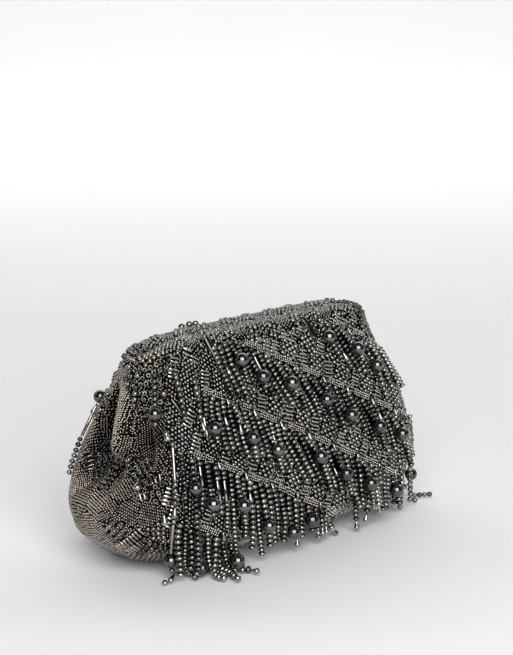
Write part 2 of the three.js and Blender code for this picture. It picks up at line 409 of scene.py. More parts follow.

# Large round beads of a face, charted from the top tier down
PEARLS = (
    PearlPlace(46, 121, 9.3),
    PearlPlace(62, 110, 9.3),
    PearlPlace(-31, 119, 9.3),
    PearlPlace(-19, 107, 9.1),
    PearlPlace(3, 98, 9.5),
    PearlPlace(26, 87, 9.1),
    PearlPlace(41, 74, 9.3),
    PearlPlace(67, 64, 9.3),
    PearlPlace(85, 55, 9.3),
    PearlPlace(-54, 85, 8.9),
    PearlPlace(-37, 77, 8.5),
    PearlPlace(-17, 66, 8.9),
    PearlPlace(9, 56, 9.3),
    PearlPlace(29, 43, 9.1),
    PearlPlace(52, 30, 9.5),
    PearlPlace(80, 20, 9.5),
    PearlPlace(-78, 57, 8.5),
    PearlPlace(-72, 47, 9.1),
    PearlPlace(-51, 40, 9.3),
    PearlPlace(-33, 26, 8.9),
    PearlPlace(-12, 17, 9.1),
    PearlPlace(13, 20, 9.7),
    PearlPlace(-80, 9, 9.1),
    PearlPlace(-56, 13, 9.1),
)

# Flat strip beads, tubes and drops that are sewn on one by one
SINGLES = (
    Single(Face.FRONT, -45, 128, Shape.TUBE, (16, 4.6, 1.5), -75, 3.6),
    Single(Face.FRONT, 34, 129.5, Shape.TUBE, (14, 4.6, 1.5), -68, 3.6),
    Single(Face.FRONT, -79, 101, Shape.TUBE, (11, 2.1, 2.1), -62, 1.5),
    Single(Face.FRONT, -84, 108, Shape.ROUND, (5, 5, 5), 0, 1.0),
    Single(Face.NEAR, 28, 57, Shape.DROP, (7.6, 4.8, 4.8), -82, 2.0),
    Single(Face.NEAR, 30, 86, Shape.DROP, (7.6, 4.8, 4.8), -80, 3.0),
    Single(Face.NEAR, 40, 40, Shape.DROP, (7.6, 4.6, 4.6), -85, 2.5),
    Single(Face.BACK, 41, 134, Shape.ROUND, (4.6, 4.6, 4.6), 0, 1.0),
    Single(Face.BACK, 36, 135, Shape.ROUND, (4.8, 4.8, 4.8), 0, 1.0),
    Single(Face.BACK, 31, 135, Shape.ROUND, (4.4, 4.4, 4.4), 0, 1.0),
)

# Drops on the strands of the tiers, some way down and at the ends of those of the hem
EXTRA_DROP = StrandBead(Shape.DROP, 7.2, 3.9)
END_DROP = StrandBead(Shape.DROP, 6.2, 4.2)

# Beads of the loose strands by letter
LOOSE_BEADS = {
    "o": StrandBead(Shape.ROUND, 3.5, 3.7),
    "O": StrandBead(Shape.PEARL, 8.6, 8.6),
    "d": StrandBead(Shape.DROP, 7.4, 4.0),
    "t": StrandBead(Shape.TUBE, 15.0, 2.2),
    "T": StrandBead(Shape.TUBE, 20.0, 2.2),
}

# Strands at the corners of the ends, charted
LOOSE_STRANDS = (
    LooseStrand(Face.FRONT, Face.NEAR, 9, 119, 0.0, "oooooo"),
    LooseStrand(Face.FRONT, Face.NEAR, 14.6, 120, 0.0, "ooooooOo"),
    LooseStrand(Face.FRONT, Face.NEAR, 19, 117, 0.0, "oooooooo"),
    LooseStrand(Face.FRONT, Face.NEAR, 23, 113, 0.0, "oooooood"),
    LooseStrand(Face.FRONT, Face.FRONT, -87, 82, 0.0, "oToooodoTOodo", -1.65),
    LooseStrand(Face.FRONT, Face.FRONT, 79, 114, 0.1, "ooooOooooo"),
    LooseStrand(Face.FRONT, Face.FAR, -38, 74, 0.0, "oooooooooooooooooooo", -1.1),
    LooseStrand(Face.FRONT, Face.FAR, -34, 62, 0.0, "oooooooooooooooooo", -0.6),
    LooseStrand(Face.FRONT, Face.FAR, -27, 56, 0.0, "ooooooooooOooooooo", -0.5),
    LooseStrand(Face.BACK, Face.BACK, 72, 119, 0.34, "ooooooooOdtooooooo"),
)


def unit(vector: np.ndarray) -> np.ndarray:
    """Vector, or rows of vectors, of length one."""
    return vector / np.linalg.norm(vector, axis=-1, keepdims=True)


def bell(place: np.ndarray) -> np.ndarray:
    """Smooth hump of height one round zero."""
    return np.exp(-place * place)


def smooth_column(rows: Sequence[NamedTuple], column: str, z: np.ndarray) -> np.ndarray:
    """Value of one column of a table, on a smooth curve through its rows.

    Args:
        rows: Table rows with a height z.
        column: Name of the column.
        z: Heights to read the column at.

    Returns:
        The column's values at those heights.
    """
    heights = np.array([row.z for row in rows])
    values = np.array([getattr(row, column) for row in rows])
    steps = np.diff(heights)
    rises = np.diff(values) / steps
    before = np.concatenate((rises[:1], rises))
    after = np.concatenate((rises, rises[-1:]))
    product = before * after
    total = np.where(product > 0, before + after, 1.0)
    slopes = np.where(product > 0, 2 * product / total, 0.0)
    z = np.clip(z, heights[0], heights[-1])
    i = np.clip(np.searchsorted(heights, z, side="right") - 1, 0, len(steps) - 1)
    t = (z - heights[i]) / steps[i]
    bend = (values[i + 1] - values[i]) * t * t * (3 - 2 * t)
    return values[i] + bend + steps[i] * t * (1 - t) * ((1 - t) * slopes[i] - t * slopes[i + 1])


def quads_of(rows: int, columns: int, start: int = 0) -> np.ndarray:
    """Quads of a grid of points, facing the side from which columns run right and rows run up.

    Args:
        rows: Number of rows.
        columns: Number of columns.
        start: Index of the grid's first point.

    Returns:
        Four point indices for each quad.
    """
    ids = start + np.arange(rows * columns).reshape(rows, columns)
    corners = (ids[:-1, :-1], ids[:-1, 1:], ids[1:, 1:], ids[1:, :-1])
    return np.stack(corners, axis=-1).reshape(-1, 4)


def mesh_of(name: str, points: np.ndarray, faces: Sequence[Sequence[int]]) -> bpy.types.Mesh:
    """Smooth mesh from points in millimetres.

    Args:
        name: Name of the mesh.
        points: One row for each point.
        faces: Point indices for each face.

    Returns:
        The mesh, in metres.
    """
    mesh = bpy.data.meshes.new(name)
    mesh.from_pydata((np.asarray(points) * MM).tolist(), [], [list(face) for face in faces])
    mesh.shade_smooth()
    mesh.update()
    return mesh


def object_of(mesh: bpy.types.Mesh) -> bpy.types.Object:
    """Object of a mesh, linked to the scene under the mesh's name."""
    made = bpy.data.objects.new(mesh.name, mesh)
    bpy.context.scene.collection.objects.link(made)
    return made


def hand_in(piece: bpy.types.Object, replaced: Sequence[str] = ()) -> None:
    """Ties a finished piece to the frame.

    Args:
        piece: The finished piece.
        replaced: CAD nodes that the piece stands for.
    """
    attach(piece, BODY)
    if replaced:
        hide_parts(*replaced)
    piece.data.calc_loop_triangles()
    LOG.info("%s: %d triangles", piece.name, len(piece.data.loop_triangles))


class NodeSheet:
    """Small helper that adds and links nodes of one tree."""

    def __init__(self, tree: bpy.types.NodeTree) -> None:
        """Keeps the tree."""
        self.tree = tree

    def add(
        self, kind: str, values: Optional[dict[str | int, object]] = None, **settings: object
    ) -> bpy.types.Node:
        """Adds a node and sets it up.

        Args:
            kind: Blender's name for the node's type.
            values: Values of its inputs, by name or number.
            **settings: Properties of the node.

        Returns:
            The node.
        """
        node = self.tree.nodes.new(kind)
        for name, value in settings.items():
            setattr(node, name, value)
        for socket, value in (values or {}).items():
            node.inputs[socket].default_value = value
        return node

    def join(
        self, source: bpy.types.Node, output: str | int, target: bpy.types.Node, socket: str | int
    ) -> None:
        """Links an output of one node to an input of another.

        Args:
            source: The first node.
            output: Name or number of its output.
            target: The second node.
            socket: Name or number of its input.
        """
        self.tree.links.new(source.outputs[output], target.inputs[socket])

    def mix(
        self, source: bpy.types.Node, output: str, dark: Sequence[float], bright: Sequence[float]
    ) -> bpy.types.Node:
        """Mixes two colours.

        Args:
            source: Node that says how much of the second colour is taken.
            output: Name of its output.
            dark: The first colour.
            bright: The second colour.

        Returns:
            The mixing node.
        """
        colours = {MIX_DARK: (*dark, 1.0), MIX_BRIGHT: (*bright, 1.0)}
        node = self.add("ShaderNodeMix", colours, data_type="RGBA")
        self.join(source, output, node, "Factor")
        return node


def group_sockets(tree: bpy.types.NodeTree, way: str, sockets: dict[str, str]) -> None:
    """Names the inputs or outputs of a node group.

    Args:
        tree: The group.
        way: INPUT or OUTPUT.
        sockets: Socket types by name.
    """
    for name, kind in sockets.items():
        tree.interface.new_socket(name, in_out=way, socket_type=kind)


def patina_group() -> bpy.types.NodeTree:
    """Shared shader group: plated metal whose shade and gloss differ from bead to bead.

    Returns:
        The group, with outputs Color and Roughness.
    """
    tree = bpy.data.node_groups.new("bead_patina", "ShaderNodeTree")
    group_sockets(tree, "INPUT", {"Dark": "NodeSocketColor", "Bright": "NodeSocketColor"})
    numbers = ("Smooth", "Rough", "Fleck Scale")
    group_sockets(tree, "INPUT", dict.fromkeys(numbers, "NodeSocketFloat"))
    group_sockets(tree, "OUTPUT", {"Color": "NodeSocketColor", "Roughness": "NodeSocketFloat"})
    sheet = NodeSheet(tree)
    given = sheet.add("NodeGroupInput")
    made = sheet.add("NodeGroupOutput")
    tone = sheet.add("ShaderNodeAttribute", attribute_name="tone")
    places = sheet.add("ShaderNodeTexCoord")
    flecks = sheet.add("ShaderNodeTexNoise")
    sheet.join(places, "Object", flecks, "Vector")
    sheet.join(given, "Fleck Scale", flecks, "Scale")
    shade = sheet.add("ShaderNodeMath", {1: FLECK_DEPTH}, operation="MULTIPLY_ADD", use_clamp=True)
    sheet.join(flecks, "Fac", shade, 0)
    sheet.join(tone, "Fac", shade, 2)
    colour = sheet.add("ShaderNodeMix", data_type="RGBA")
    sheet.join(shade, 0, colour, "Factor")
    sheet.join(given, "Dark", colour, MIX_DARK)
    sheet.join(given, "Bright", colour, MIX_BRIGHT)
    gloss = sheet.add("ShaderNodeMix", data_type="FLOAT")
    sheet.join(flecks, "Fac", gloss, "Factor")
    sheet.join(given, "Smooth", gloss, LOW)
    sheet.join(given, "Rough", gloss, HIGH)
    sheet.join(colour, MIXED, made, "Color")
    sheet.join(gloss, 0, made, "Roughness")
    return tree


def weave_group() -> bpy.types.NodeTree:
    """Shared shader group: plain weave in the cloth's own map.

    Returns:
        The group, with outputs Shade and Height.
    """
    tree = bpy.data.node_groups.new("cloth_weave", "ShaderNodeTree")
    group_sockets(tree, "INPUT", {"Threads": "NodeSocketFloat"})
    group_sockets(tree, "OUTPUT", dict.fromkeys(("Shade", "Height"), "NodeSocketFloat"))
    sheet = NodeSheet(tree)
    given = sheet.add("NodeGroupInput")
    made = sheet.add("NodeGroupOutput")
    places = sheet.add("ShaderNodeTexCoord")
    crossing = sheet.add("ShaderNodeMath", operation="MULTIPLY")
    for index, direction in enumerate(("X", "Y")):
        threads = sheet.add("ShaderNodeTexWave", {"Distortion": THREAD_WAVER}, bands_direction=direction)
        sheet.join(places, "UV", threads, "Vector")
        sheet.join(given, "Threads", threads, "Scale")
        sheet.join(threads, "Fac", crossing, index)
    wear = sheet.add("ShaderNodeTexNoise", {"Scale": WEAR_SCALE})
    sheet.join(places, "UV", wear, "Vector")
    shade = sheet.add("ShaderNodeMath", operation="MULTIPLY")
    sheet.join(crossing, 0, shade, 0)
    sheet.join(wear, "Fac", shade, 1)
    sheet.join(shade, 0, made, "Shade")
    sheet.join(crossing, 0, made, "Height")
    return tree


def blank_material(
    name: str, values: dict[str, float]
) -> tuple[NodeSheet, bpy.types.Node, bpy.types.Material]:
    """New material with only its Principled shader.

    Args:
        name: Name of the material.
        values: Values of the shader's inputs.

    Returns:
        The node helper, the shader node and the material.
    """
    material = bpy.data.materials.new(name)
    material.use_nodes = True
    shader = material.node_tree.nodes["Principled BSDF"]
    for socket, value in values.items():
        shader.inputs[socket].default_value = value
    return NodeSheet(material.node_tree), shader, material


@dataclass(frozen=True)
class BeadFinish:
    """Plated bead finish: its darkest and brightest metal and its range of gloss."""

    name: str
    dark: tuple[float, float, float]
    bright: tuple[float, float, float]
    smooth: float
    rough: float
    metallic: float = 1.0
    fleck_scale: float = 260.0

    def material(self, patina: bpy.types.NodeTree) -> bpy.types.Material:
        """Material of the finish.

        Args:
            patina: The shared patina group.

        Returns:
            The material.
        """
        sheet, shader, material = blank_material(self.name, {"Metallic": self.metallic})
        values = {
            "Dark": (*self.dark, 1.0),
            "Bright": (*self.bright, 1.0),
            "Smooth": self.smooth,
            "Rough": self.rough,
            "Fleck Scale": self.fleck_scale,
        }
        group = sheet.add("ShaderNodeGroup", values, node_tree=patina)
        sheet.join(group, "Color", shader, "Base Color")
        sheet.join(group, "Roughness", shader, "Roughness")
        return material


@dataclass(frozen=True)
class ClothFinish:
    """Dark satin cloth with a fine weave."""

    name: str
    dark: tuple[float, float, float]
    bright: tuple[float, float, float]
    roughness: float
    sheen: float
    threads: float
    relief: float
    bump: float = 0.5

    def material(self, weave: bpy.types.NodeTree) -> bpy.types.Material:
        """Material of the cloth.

        Args:
            weave: The shared weave group.

        Returns:
            The material.
        """
        values = {"Roughness": self.roughness, "Specular IOR Level": self.sheen}
        sheet, shader, material = blank_material(self.name, values)
        group = sheet.add("ShaderNodeGroup", {"Threads": self.threads}, node_tree=weave)
        colour = sheet.mix(group, "Shade", self.dark, self.bright)
        sheet.join(colour, MIXED, shader, "Base Color")
        bump = sheet.add("ShaderNodeBump", {"Strength": self.bump, "Distance": self.relief * MM})
        sheet.join(group, "Height", bump, "Height")
        sheet.join(bump, "Normal", shader, "Normal")
        return material


@dataclass(frozen=True)
class SteelFinish:
    """Brushed steel of the hidden mouth frame."""

    name: str
    dark: tuple[float, float, float]
    bright: tuple[float, float, float]
    stretch: tuple[float, float, float]
    smooth: float = 0.25
    rough: float = 0.45

    def material(self) -> bpy.types.Material:
        """Material of the steel."""
        sheet, shader, material = blank_material(self.name, {"Metallic": 1.0})
        places = sheet.add("ShaderNodeTexCoord")
        mapping = sheet.add("ShaderNodeMapping", {"Scale": self.stretch})
        sheet.join(places, "Object", mapping, "Vector")
        brushing = sheet.add("ShaderNodeTexNoise", {"Scale": 1.0})
        sheet.join(mapping, "Vector", brushing, "Vector")
        colour = sheet.mix(brushing, "Fac", self.dark, self.bright)
        sheet.join(colour, MIXED, shader, "Base Color")
        gloss = sheet.add("ShaderNodeMapRange", {"To Min": self.smooth, "To Max": self.rough})
        sheet.join(brushing, "Fac", gloss, "Value")
        sheet.join(gloss, "Result", shader, "Roughness")
        return material


TAUPE = BeadFinish("taupe_plate", (0.028, 0.025, 0.022), (0.52, 0.46, 0.4), 0.07, 0.18)
GUNMETAL = BeadFinish("gunmetal_plate", (0.015, 0.015, 0.0143), (0.44, 0.432, 0.4), 0.02, 0.09)
ROPE = BeadFinish("rope_plate", (0.022, 0.022, 0.021), (0.5, 0.49, 0.455), 0.1, 0.22)
SILVER = BeadFinish("silver_plate", (0.2, 0.195, 0.18), (0.62, 0.6, 0.53), 0.1, 0.2)
HEMATITE = BeadFinish("hematite_polish", (0.1, 0.1, 0.1), (0.21, 0.211, 0.212), 0.02, 0.08)
SATIN = ClothFinish("black_satin", (0.001, 0.001, 0.002), (0.007, 0.007, 0.011), 0.55, 0.1, 160.0, 0.12)
STEEL = SteelFinish("brushed_steel", (0.42, 0.42, 0.43), (0.62, 0.62, 0.63), (30.0, 900.0, 900.0))
BEAD_FINISHES = (TAUPE, GUNMETAL, ROPE, SILVER, HEMATITE)

# Finish of bead shapes on the long walls, the ends and the strands, gunmetal where none is named
PANEL_FINISH = {Shape.DOT: SILVER, Shape.BUGLE: SILVER}
GUSSET_FINISH = {Shape.SEED: TAUPE, Shape.BUGLE: TAUPE, Shape.ROUND: TAUPE}
STRAND_FINISH = {Shape.PEARL: HEMATITE, Shape.ROUND: ROPE}

# Share by which the sizes of beads differ
SIZE_JITTER = {
    Shape.SEED: 0.07,
    Shape.DOT: 0.05,
    Shape.ROUND: 0.05,
    Shape.RING: 0.06,
    Shape.PEARL: 0.02,
    Shape.TUBE: 0.04,
    Shape.BUGLE: 0.04,
    Shape.DROP: 0.06,
}


def capped_faces(rings: int, sides: int) -> list[list[int]]:
    """Faces of a closed shape: the point of one end, rings of points, and the point of the other end.

    Args:
        rings: Number of rings.
        sides: Number of points in a ring.

    Returns:
        Point indices of each face, facing out.
    """
    last = 1 + rings * sides
    top = last - sides
    faces = []
    for side in range(sides):
        ahead = (side + 1) % sides
        faces.append([0, 1 + ahead, 1 + side])
        for low in range(1, top, sides):
            high = low + sides
            faces.append([low + side, low + ahead, high + ahead, high + side])
        faces.append([top + side, top + ahead, last])
    return faces


def lathe(profile: Sequence[tuple[float, float]], sides: int) -> tuple[np.ndarray, list[list[int]]]:
    """Closed turned shape round X.

    Args:
        profile: Place along X and radius, from one end to the other, both ends on the axis.
        sides: Number of sides.

    Returns:
        Points and faces, facing out.
    """
    turns = np.linspace(0, 2 * math.pi, sides, endpoint=False)
    rings = profile[1:-1]
    points = [(profile[0][0], 0.0, 0.0)]
    for place, radius in rings:
        points.extend((place, radius * math.cos(turn), radius * math.sin(turn)) for turn in turns)
    points.append((profile[-1][0], 0.0, 0.0))
    return np.array(points), capped_faces(len(rings), sides)


def ball_profile(rings: int) -> list[tuple[float, float]]:
    """Profile of a ball one unit across."""
    turns = [math.pi * i / rings for i in range(rings + 1)]
    return [(-0.5 * math.cos(turn), 0.5 * math.sin(turn)) for turn in turns]


def ring_shape(sides: int, rings: int, hole: float) -> tuple[np.ndarray, list[list[int]]]:
    """Ring bead one unit across that lies flat, its hole along Z.

    Args:
        sides: Steps round the hole.
        rings: Steps round the bar.
        hole: Width of the hole.

    Returns:
        Points and faces, facing out.
    """
    bar = (0.5 - hole / 2) / 2
    middle = 0.5 - bar
    points = []
    for i in range(sides):
        turn = 2 * math.pi * i / sides
        for k in range(rings):
            roll = 2 * math.pi * k / rings
            reach = middle + bar * math.cos(roll)
            points.append((reach * math.cos(turn), reach * math.sin(turn), 0.5 * math.sin(roll)))
    faces = []
    for i in range(sides):
        for k in range(rings):
            ahead, above = (i + 1) % sides, (k + 1) % rings
            faces.append([i * rings + k, ahead * rings + k, ahead * rings + above, i * rings + above])
    return np.array(points), faces


# Profiles of turned beads, as place along the thread and radius
SEED_PROFILE = ((-0.5, 0), (-0.26, 0.5), (0.26, 0.5), (0.5, 0))
TUBE_PROFILE = ((-0.5, 0), (-0.5, 0.42), (-0.46, 0.5), (0.46, 0.5), (0.5, 0.42), (0.5, 0))
DROP_PROFILE = ((-0.5, 0), (-0.5, 0.14), (-0.15, 0.24), (0.12, 0.4), (0.32, 0.5), (0.46, 0.36), (0.5, 0))

BEAD_FORMS = {
    Shape.SEED: lathe(SEED_PROFILE, 6),
    Shape.DOT: lathe(SEED_PROFILE, 6),
    Shape.ROUND: lathe(ball_profile(5), 8),
    Shape.RING: ring_shape(9, 6, 0.26),
    Shape.PEARL: lathe(ball_profile(10), 16),
    Shape.TUBE: lathe(TUBE_PROFILE, 8),
    Shape.BUGLE: lathe(TUBE_PROFILE, 6),
    Shape.DROP: lathe(DROP_PROFILE, 8),
}


class Surface:
    """Outer face of the cloth, for finding places on it."""

    def __init__(self, grids: dict[Face, np.ndarray]) -> None:
        """Joins grids of points into one surface.

        Args:
            grids: Point grid of each wall, rows going up.
        """
        points, quads = [], []
        self.walls: list[Face] = []
        for face, grid in grids.items():
            quads.extend(quads_of(grid.shape[0], grid.shape[1], len(points)).tolist())
            points.extend(grid.reshape(-1, 3).tolist())
            self.walls.extend([face] * (len(quads) - len(self.walls)))
        self.tree = BVHTree.FromPolygons(points, quads)

    def cast(self, origin: np.ndarray, direction: np.ndarray) -> Optional[Spot]:
        """First place that a straight line meets.

        Args:
            origin: Start of the line.
            direction: Its direction.

        Returns:
            The place, or None where the line misses.
        """
        point, normal, index, _ = self.tree.ray_cast(Vector(origin), Vector(direction))
        return None if point is None else Spot(np.array(point), np.array(normal), self.walls[index])

    def lift(self, points: np.ndarray, clearance: np.ndarray) -> np.ndarray:
        """Points moved out until they clear the cloth.

        Args:
            points: Points near the cloth.
            clearance: Least distance of each from the cloth.

        Returns:
            The moved points.
        """
        moved = points.copy()
        for i, point in enumerate(points):
            near, normal, _, _ = self.tree.find_nearest(Vector(point))
            normal = np.array(normal)
            short = clearance[i] - (point - np.array(near)) @ normal
            if short > 0:
                moved[i] += normal * short
        return moved


@dataclass
class Pouch:
    """Cloth pouch: four walls on a flat base, rolled in over the mouth's frame."""

    wall: float = 1.8
    ridge_height: float = 136.5
    ridge_rise: float = 0.00015
    roll_radius: float = 6.5
    lip_radius: float = 9.3
    lip_flatness: float = 0.35
    mouth_half_straight: float = 77.0
    mouth_half_gap: float = 3.0
    lip_depth: float = 12.0
    near_drop: float = 8.0
    far_drop: float = 3.0
    corner_start: float = 70.0
    corner_power: float = 6.0
    pleat_centre: float = -5.0
    pleat_width: float = 10.0
    crease_centre: float = -10.5
    crease_width: float = 2.0
    hollow_front: float = -0.57
    hollow_back: float = 0.28
    hollow_width: float = 0.18
    fold_fade: float = 4.0
    columns: int = 73
    body_rows: int = 60
    neck_rows: int = 3
    roll_rows: int = 9
    lip_rows: int = 3
    base_steps: tuple[tuple[float, float], ...] = ((0.995, 0.0), (1.0, 0.5), (1.0, 2.2), (0.985, 2.3))
    grids: dict[Face, np.ndarray] = field(default_factory=dict)

    def __post_init__(self) -> None:
        """Works out the outer face of every wall."""
        for face in Face:
            self.grids[face] = self.wall_grid(face)

    @property
    def frame_depth(self) -> float:
        """Distance of the frame's straight sides from the middle."""
        return self.mouth_half_gap + self.roll_radius

    def risen(self, x: np.ndarray, y: np.ndarray, z: np.ndarray) -> np.ndarray:
        """Points of the pouch, which rises a little towards its far end."""
        return np.stack((x, y, z * (1 + self.ridge_rise * x * z / self.ridge_height)), axis=-1)

    def fall(self, x: np.ndarray, reach: np.ndarray) -> np.ndarray:
        """How far the mouth has fallen at a place along it."""
        drop = np.where(x < 0, self.near_drop, self.far_drop)
        return drop * np.minimum(np.abs(x) / reach, 1.0) ** self.corner_power

    def body_row(self, face: Face, z: float, places: np.ndarray) -> np.ndarray:
        """Row of points of a wall below the roll.

        Args:
            face: The wall.
            z: Height of the row before the corners fall.
            places: Places from -1 at one seam to 1 at the other, to the right.

        Returns:
            The row's points.
        """
        near, far, front, back, square = (
            float(smooth_column(SECTIONS, name, z)) for name in ("near", "far", "front", "back", "square")
        )
        seam = 0.5 ** (1 / square)
        side = face.outward.sum()
        w = places * seam * face.right.sum()
        bulge = np.maximum(0, 1 - np.abs(w) ** square) ** (1 / square)
        if face.is_panel:
            reach = np.where(w < 0, near, far)
            x = w * reach
            y = side * (front if side < 0 else back) * bulge
        else:
            reach = near if side < 0 else far
            y = w * np.where(w < 0, front, back)
            x = side * (reach * bulge + self.fold(z, w, y, seam))
        ridge = np.clip((z - self.corner_start) / (self.ridge_height - self.corner_start), 0, 1)
        return self.risen(x, y, z - ridge * self.fall(x, reach))

    def fold(self, z: float, w: np.ndarray, y: np.ndarray, seam: float) -> np.ndarray:
        """How far the pleat and the hollows move an end wall outward.

        Args:
            z: Height.
            w: Place across the wall.
            y: Distance from the middle.
            seam: Place of the seams.

        Returns:
            The distance at each place.
        """
        pleat, front, back, crease = (
            float(smooth_column(FOLDS, name, z)) for name in ("pleat", "front", "back", "crease")
        )
        inside = np.maximum(0, 1 - (np.abs(w) / seam) ** self.fold_fade)
        stand = pleat * bell((y - self.pleat_centre) / self.pleat_width)
        stand -= crease * bell((y - self.crease_centre) / self.crease_width)
        stand -= front * bell((w - self.hollow_front) / self.hollow_width)
        stand -= back * bell((w - self.hollow_back) / self.hollow_width)
        return inside * stand

    def mouth_row(self, face: Face, out: float, up: float, places: np.ndarray) -> np.ndarray:
        """Row of points beside the frame.

        Args:
            face: The wall.
            out: Distance outward from the frame's centre line.
            up: Distance above it.
            places: Places from -1 to 1 along the wall.

        Returns:
            The row's points.
        """
        side = face.outward.sum()
        f = places * face.right.sum()
        reach = self.mouth_half_straight + self.frame_depth
        if face.is_panel:
            x = f * self.mouth_half_straight
            y = np.full_like(x, side * (self.frame_depth + out))
            centre = x
        else:
            turn = f * math.pi / 2
            radius = self.frame_depth + out
            x = side * (self.mouth_half_straight + radius * np.cos(turn))
            y = radius * np.sin(turn)
            centre = side * (self.mouth_half_straight + self.frame_depth * np.cos(turn))
        z = self.ridge_height - self.roll_radius - self.fall(centre, reach) + up
        return self.risen(x, y, z)

    def wall_grid(self, face: Face) -> np.ndarray:
        """Outer face of a wall, from the base over the roll and down inside the mouth.

        Args:
            face: The wall.

        Returns:
            Rows of points, from the left seam to the right one.
        """
        places = np.linspace(-1, 1, self.columns)
        heights = np.linspace(SECTIONS[0].z, SECTIONS[-1].z, self.body_rows)
        rows = [self.body_row(face, float(z), places) for z in heights]
        roll = []
        for turn in np.linspace(0, math.pi, self.roll_rows):
            inside = turn > math.pi / 2
            reach = self.lip_radius if inside else self.roll_radius
            rise = math.sin(turn) ** (self.lip_flatness if inside else 1.0)
            roll.append(self.mouth_row(face, reach * math.cos(turn), self.roll_radius * rise, places))
        for step in range(1, self.neck_rows + 1):
            share = step / (self.neck_rows + 1)
            rows.append(rows[self.body_rows - 1] * (1 - share) + roll[0] * share)
        rows.extend(roll)
        for step in range(1, self.lip_rows + 1):
            drop = self.lip_depth * step / self.lip_rows
            rows.append(self.mouth_row(face, -self.lip_radius, -drop, places))
        return np.array(rows)

    def surface(self) -> Surface:
        """The four walls as one surface."""
        return Surface(self.grids)

    def cloth_piece(self, face: Face, material: bpy.types.Material) -> bpy.types.Object:
        """Cloth wall with its thickness.

        Args:
            face: The wall.
            material: The cloth's material.

        Returns:
            The piece.
        """
        outer = self.grids[face]
        rows, columns, _ = outer.shape
        along = np.gradient(outer, axis=1)
        above = np.gradient(outer, axis=0)
        inner = outer - unit(np.cross(along, above)) * self.wall
        count = rows * columns
        ids = np.arange(count).reshape(rows, columns)
        edge = np.concatenate((ids[0, :-1], ids[:-1, -1], ids[-1, :0:-1], ids[:0:-1, 0]))
        rim = np.stack((np.roll(edge, -1), edge, edge + count, np.roll(edge, -1) + count), axis=-1)
        faces = np.concatenate((quads_of(rows, columns), quads_of(rows, columns, count)[:, ::-1], rim))
        mesh = mesh_of(f"cloth_{face.word}", np.concatenate((outer, inner)).reshape(-1, 3), faces)
        across = np.cumsum(np.linalg.norm(along, axis=2), axis=1)
        upward = np.cumsum(np.linalg.norm(above, axis=2), axis=0)
        self.map_cloth(mesh, np.stack((across, upward), axis=-1).reshape(-1, 2))
        mesh.materials.append(material)
        return object_of(mesh)

    @staticmethod
    def map_cloth(mesh: bpy.types.Mesh, flat: np.ndarray) -> None:
        """Gives a cloth mesh its map.

        Args:
            mesh: The mesh.
            flat: Place in the flat cloth of each point of the outer face, which the inner one repeats.
        """
        corners = np.zeros(len(mesh.loops), dtype=np.int32)
        mesh.loops.foreach_get("vertex_index", corners)
        layer = mesh.uv_layers.new(name="cloth")
        layer.uv.foreach_set("vector", (flat[corners % len(flat)] * MAP_SCALE).astype(np.float32).ravel())

    def base_piece(self, material: bpy.types.Material) -> bpy.types.Object:
        """Cloth bottom with a soft rounded edge: rings of the walls' foot, each a share of it at a height.

        Args:
            material: The cloth's material.

        Returns:
            The piece.
        """
        foot = np.concatenate([self.grids[face][0, :-1] for face in Face])
        level = np.ones(len(foot))
        rings = [np.column_stack((foot[:, :2] * share, level * z)) for share, z in self.base_steps]
        first, last = ([[0.0, 0.0, z]] for _, z in (self.base_steps[0], self.base_steps[-1]))
        points = np.concatenate((first, *rings, last))
        mesh = mesh_of("cloth_base", points, capped_faces(len(rings), len(foot)))
        self.map_cloth(mesh, points[:, :2])
        mesh.materials.append(material)
        return object_of(mesh)


@dataclass
class Tray:
    """Beads of one shape for one piece."""

    places: list[np.ndarray] = field(default_factory=list)
    along: list[np.ndarray] = field(default_factory=list)
    out: list[np.ndarray] = field(default_factory=list)
    sizes: list[Sequence[float]] = field(default_factory=list)
    tones: list[float] = field(default_factory=list)

    def add(
        self, place: np.ndarray, along: np.ndarray, out: np.ndarray, size: Sequence[float], tone: float
    ) -> None:
        """Adds one bead.

        Args:
            place: Its centre.
            along: Direction of its thread.
            out: Direction of its outer side.
            size: Length, width and height.
            tone: Its shade, from 0 to 1.
        """
        self.places.append(place)
        self.along.append(along)
        self.out.append(out)
        self.sizes.append(size)
        self.tones.append(tone)

    def turns(self) -> np.ndarray:
        """Quaternions that turn each bead from its own axes."""
        out = unit(np.array(self.out))
        across = unit(np.cross(out, np.array(self.along)))
        axes = np.stack((np.cross(across, out), across, out), axis=-1)
        return np.array([Matrix(axis).to_quaternion() for axis in axes])

    def points(self, name: str) -> bpy.types.Object:
        """One point for each bead, with its turn, size and tone."""
        mesh = bpy.data.meshes.new(name)
        mesh.vertices.add(len(self.places))
        mesh.vertices.foreach_set("co", (np.array(self.places) * MM).astype(np.float32).ravel())
        columns = (
            ("turn", "QUATERNION", "value", self.turns()),
            ("size", "FLOAT_VECTOR", "vector", np.array(self.sizes) * MM),
            ("tone", "FLOAT", "value", np.array(self.tones)),
        )
        for column, kind, part, rows in columns:
            attribute = mesh.attributes.new(column, kind, "POINT")
            attribute.data.foreach_set(part, rows.astype(np.float32).ravel())
        return object_of(mesh)


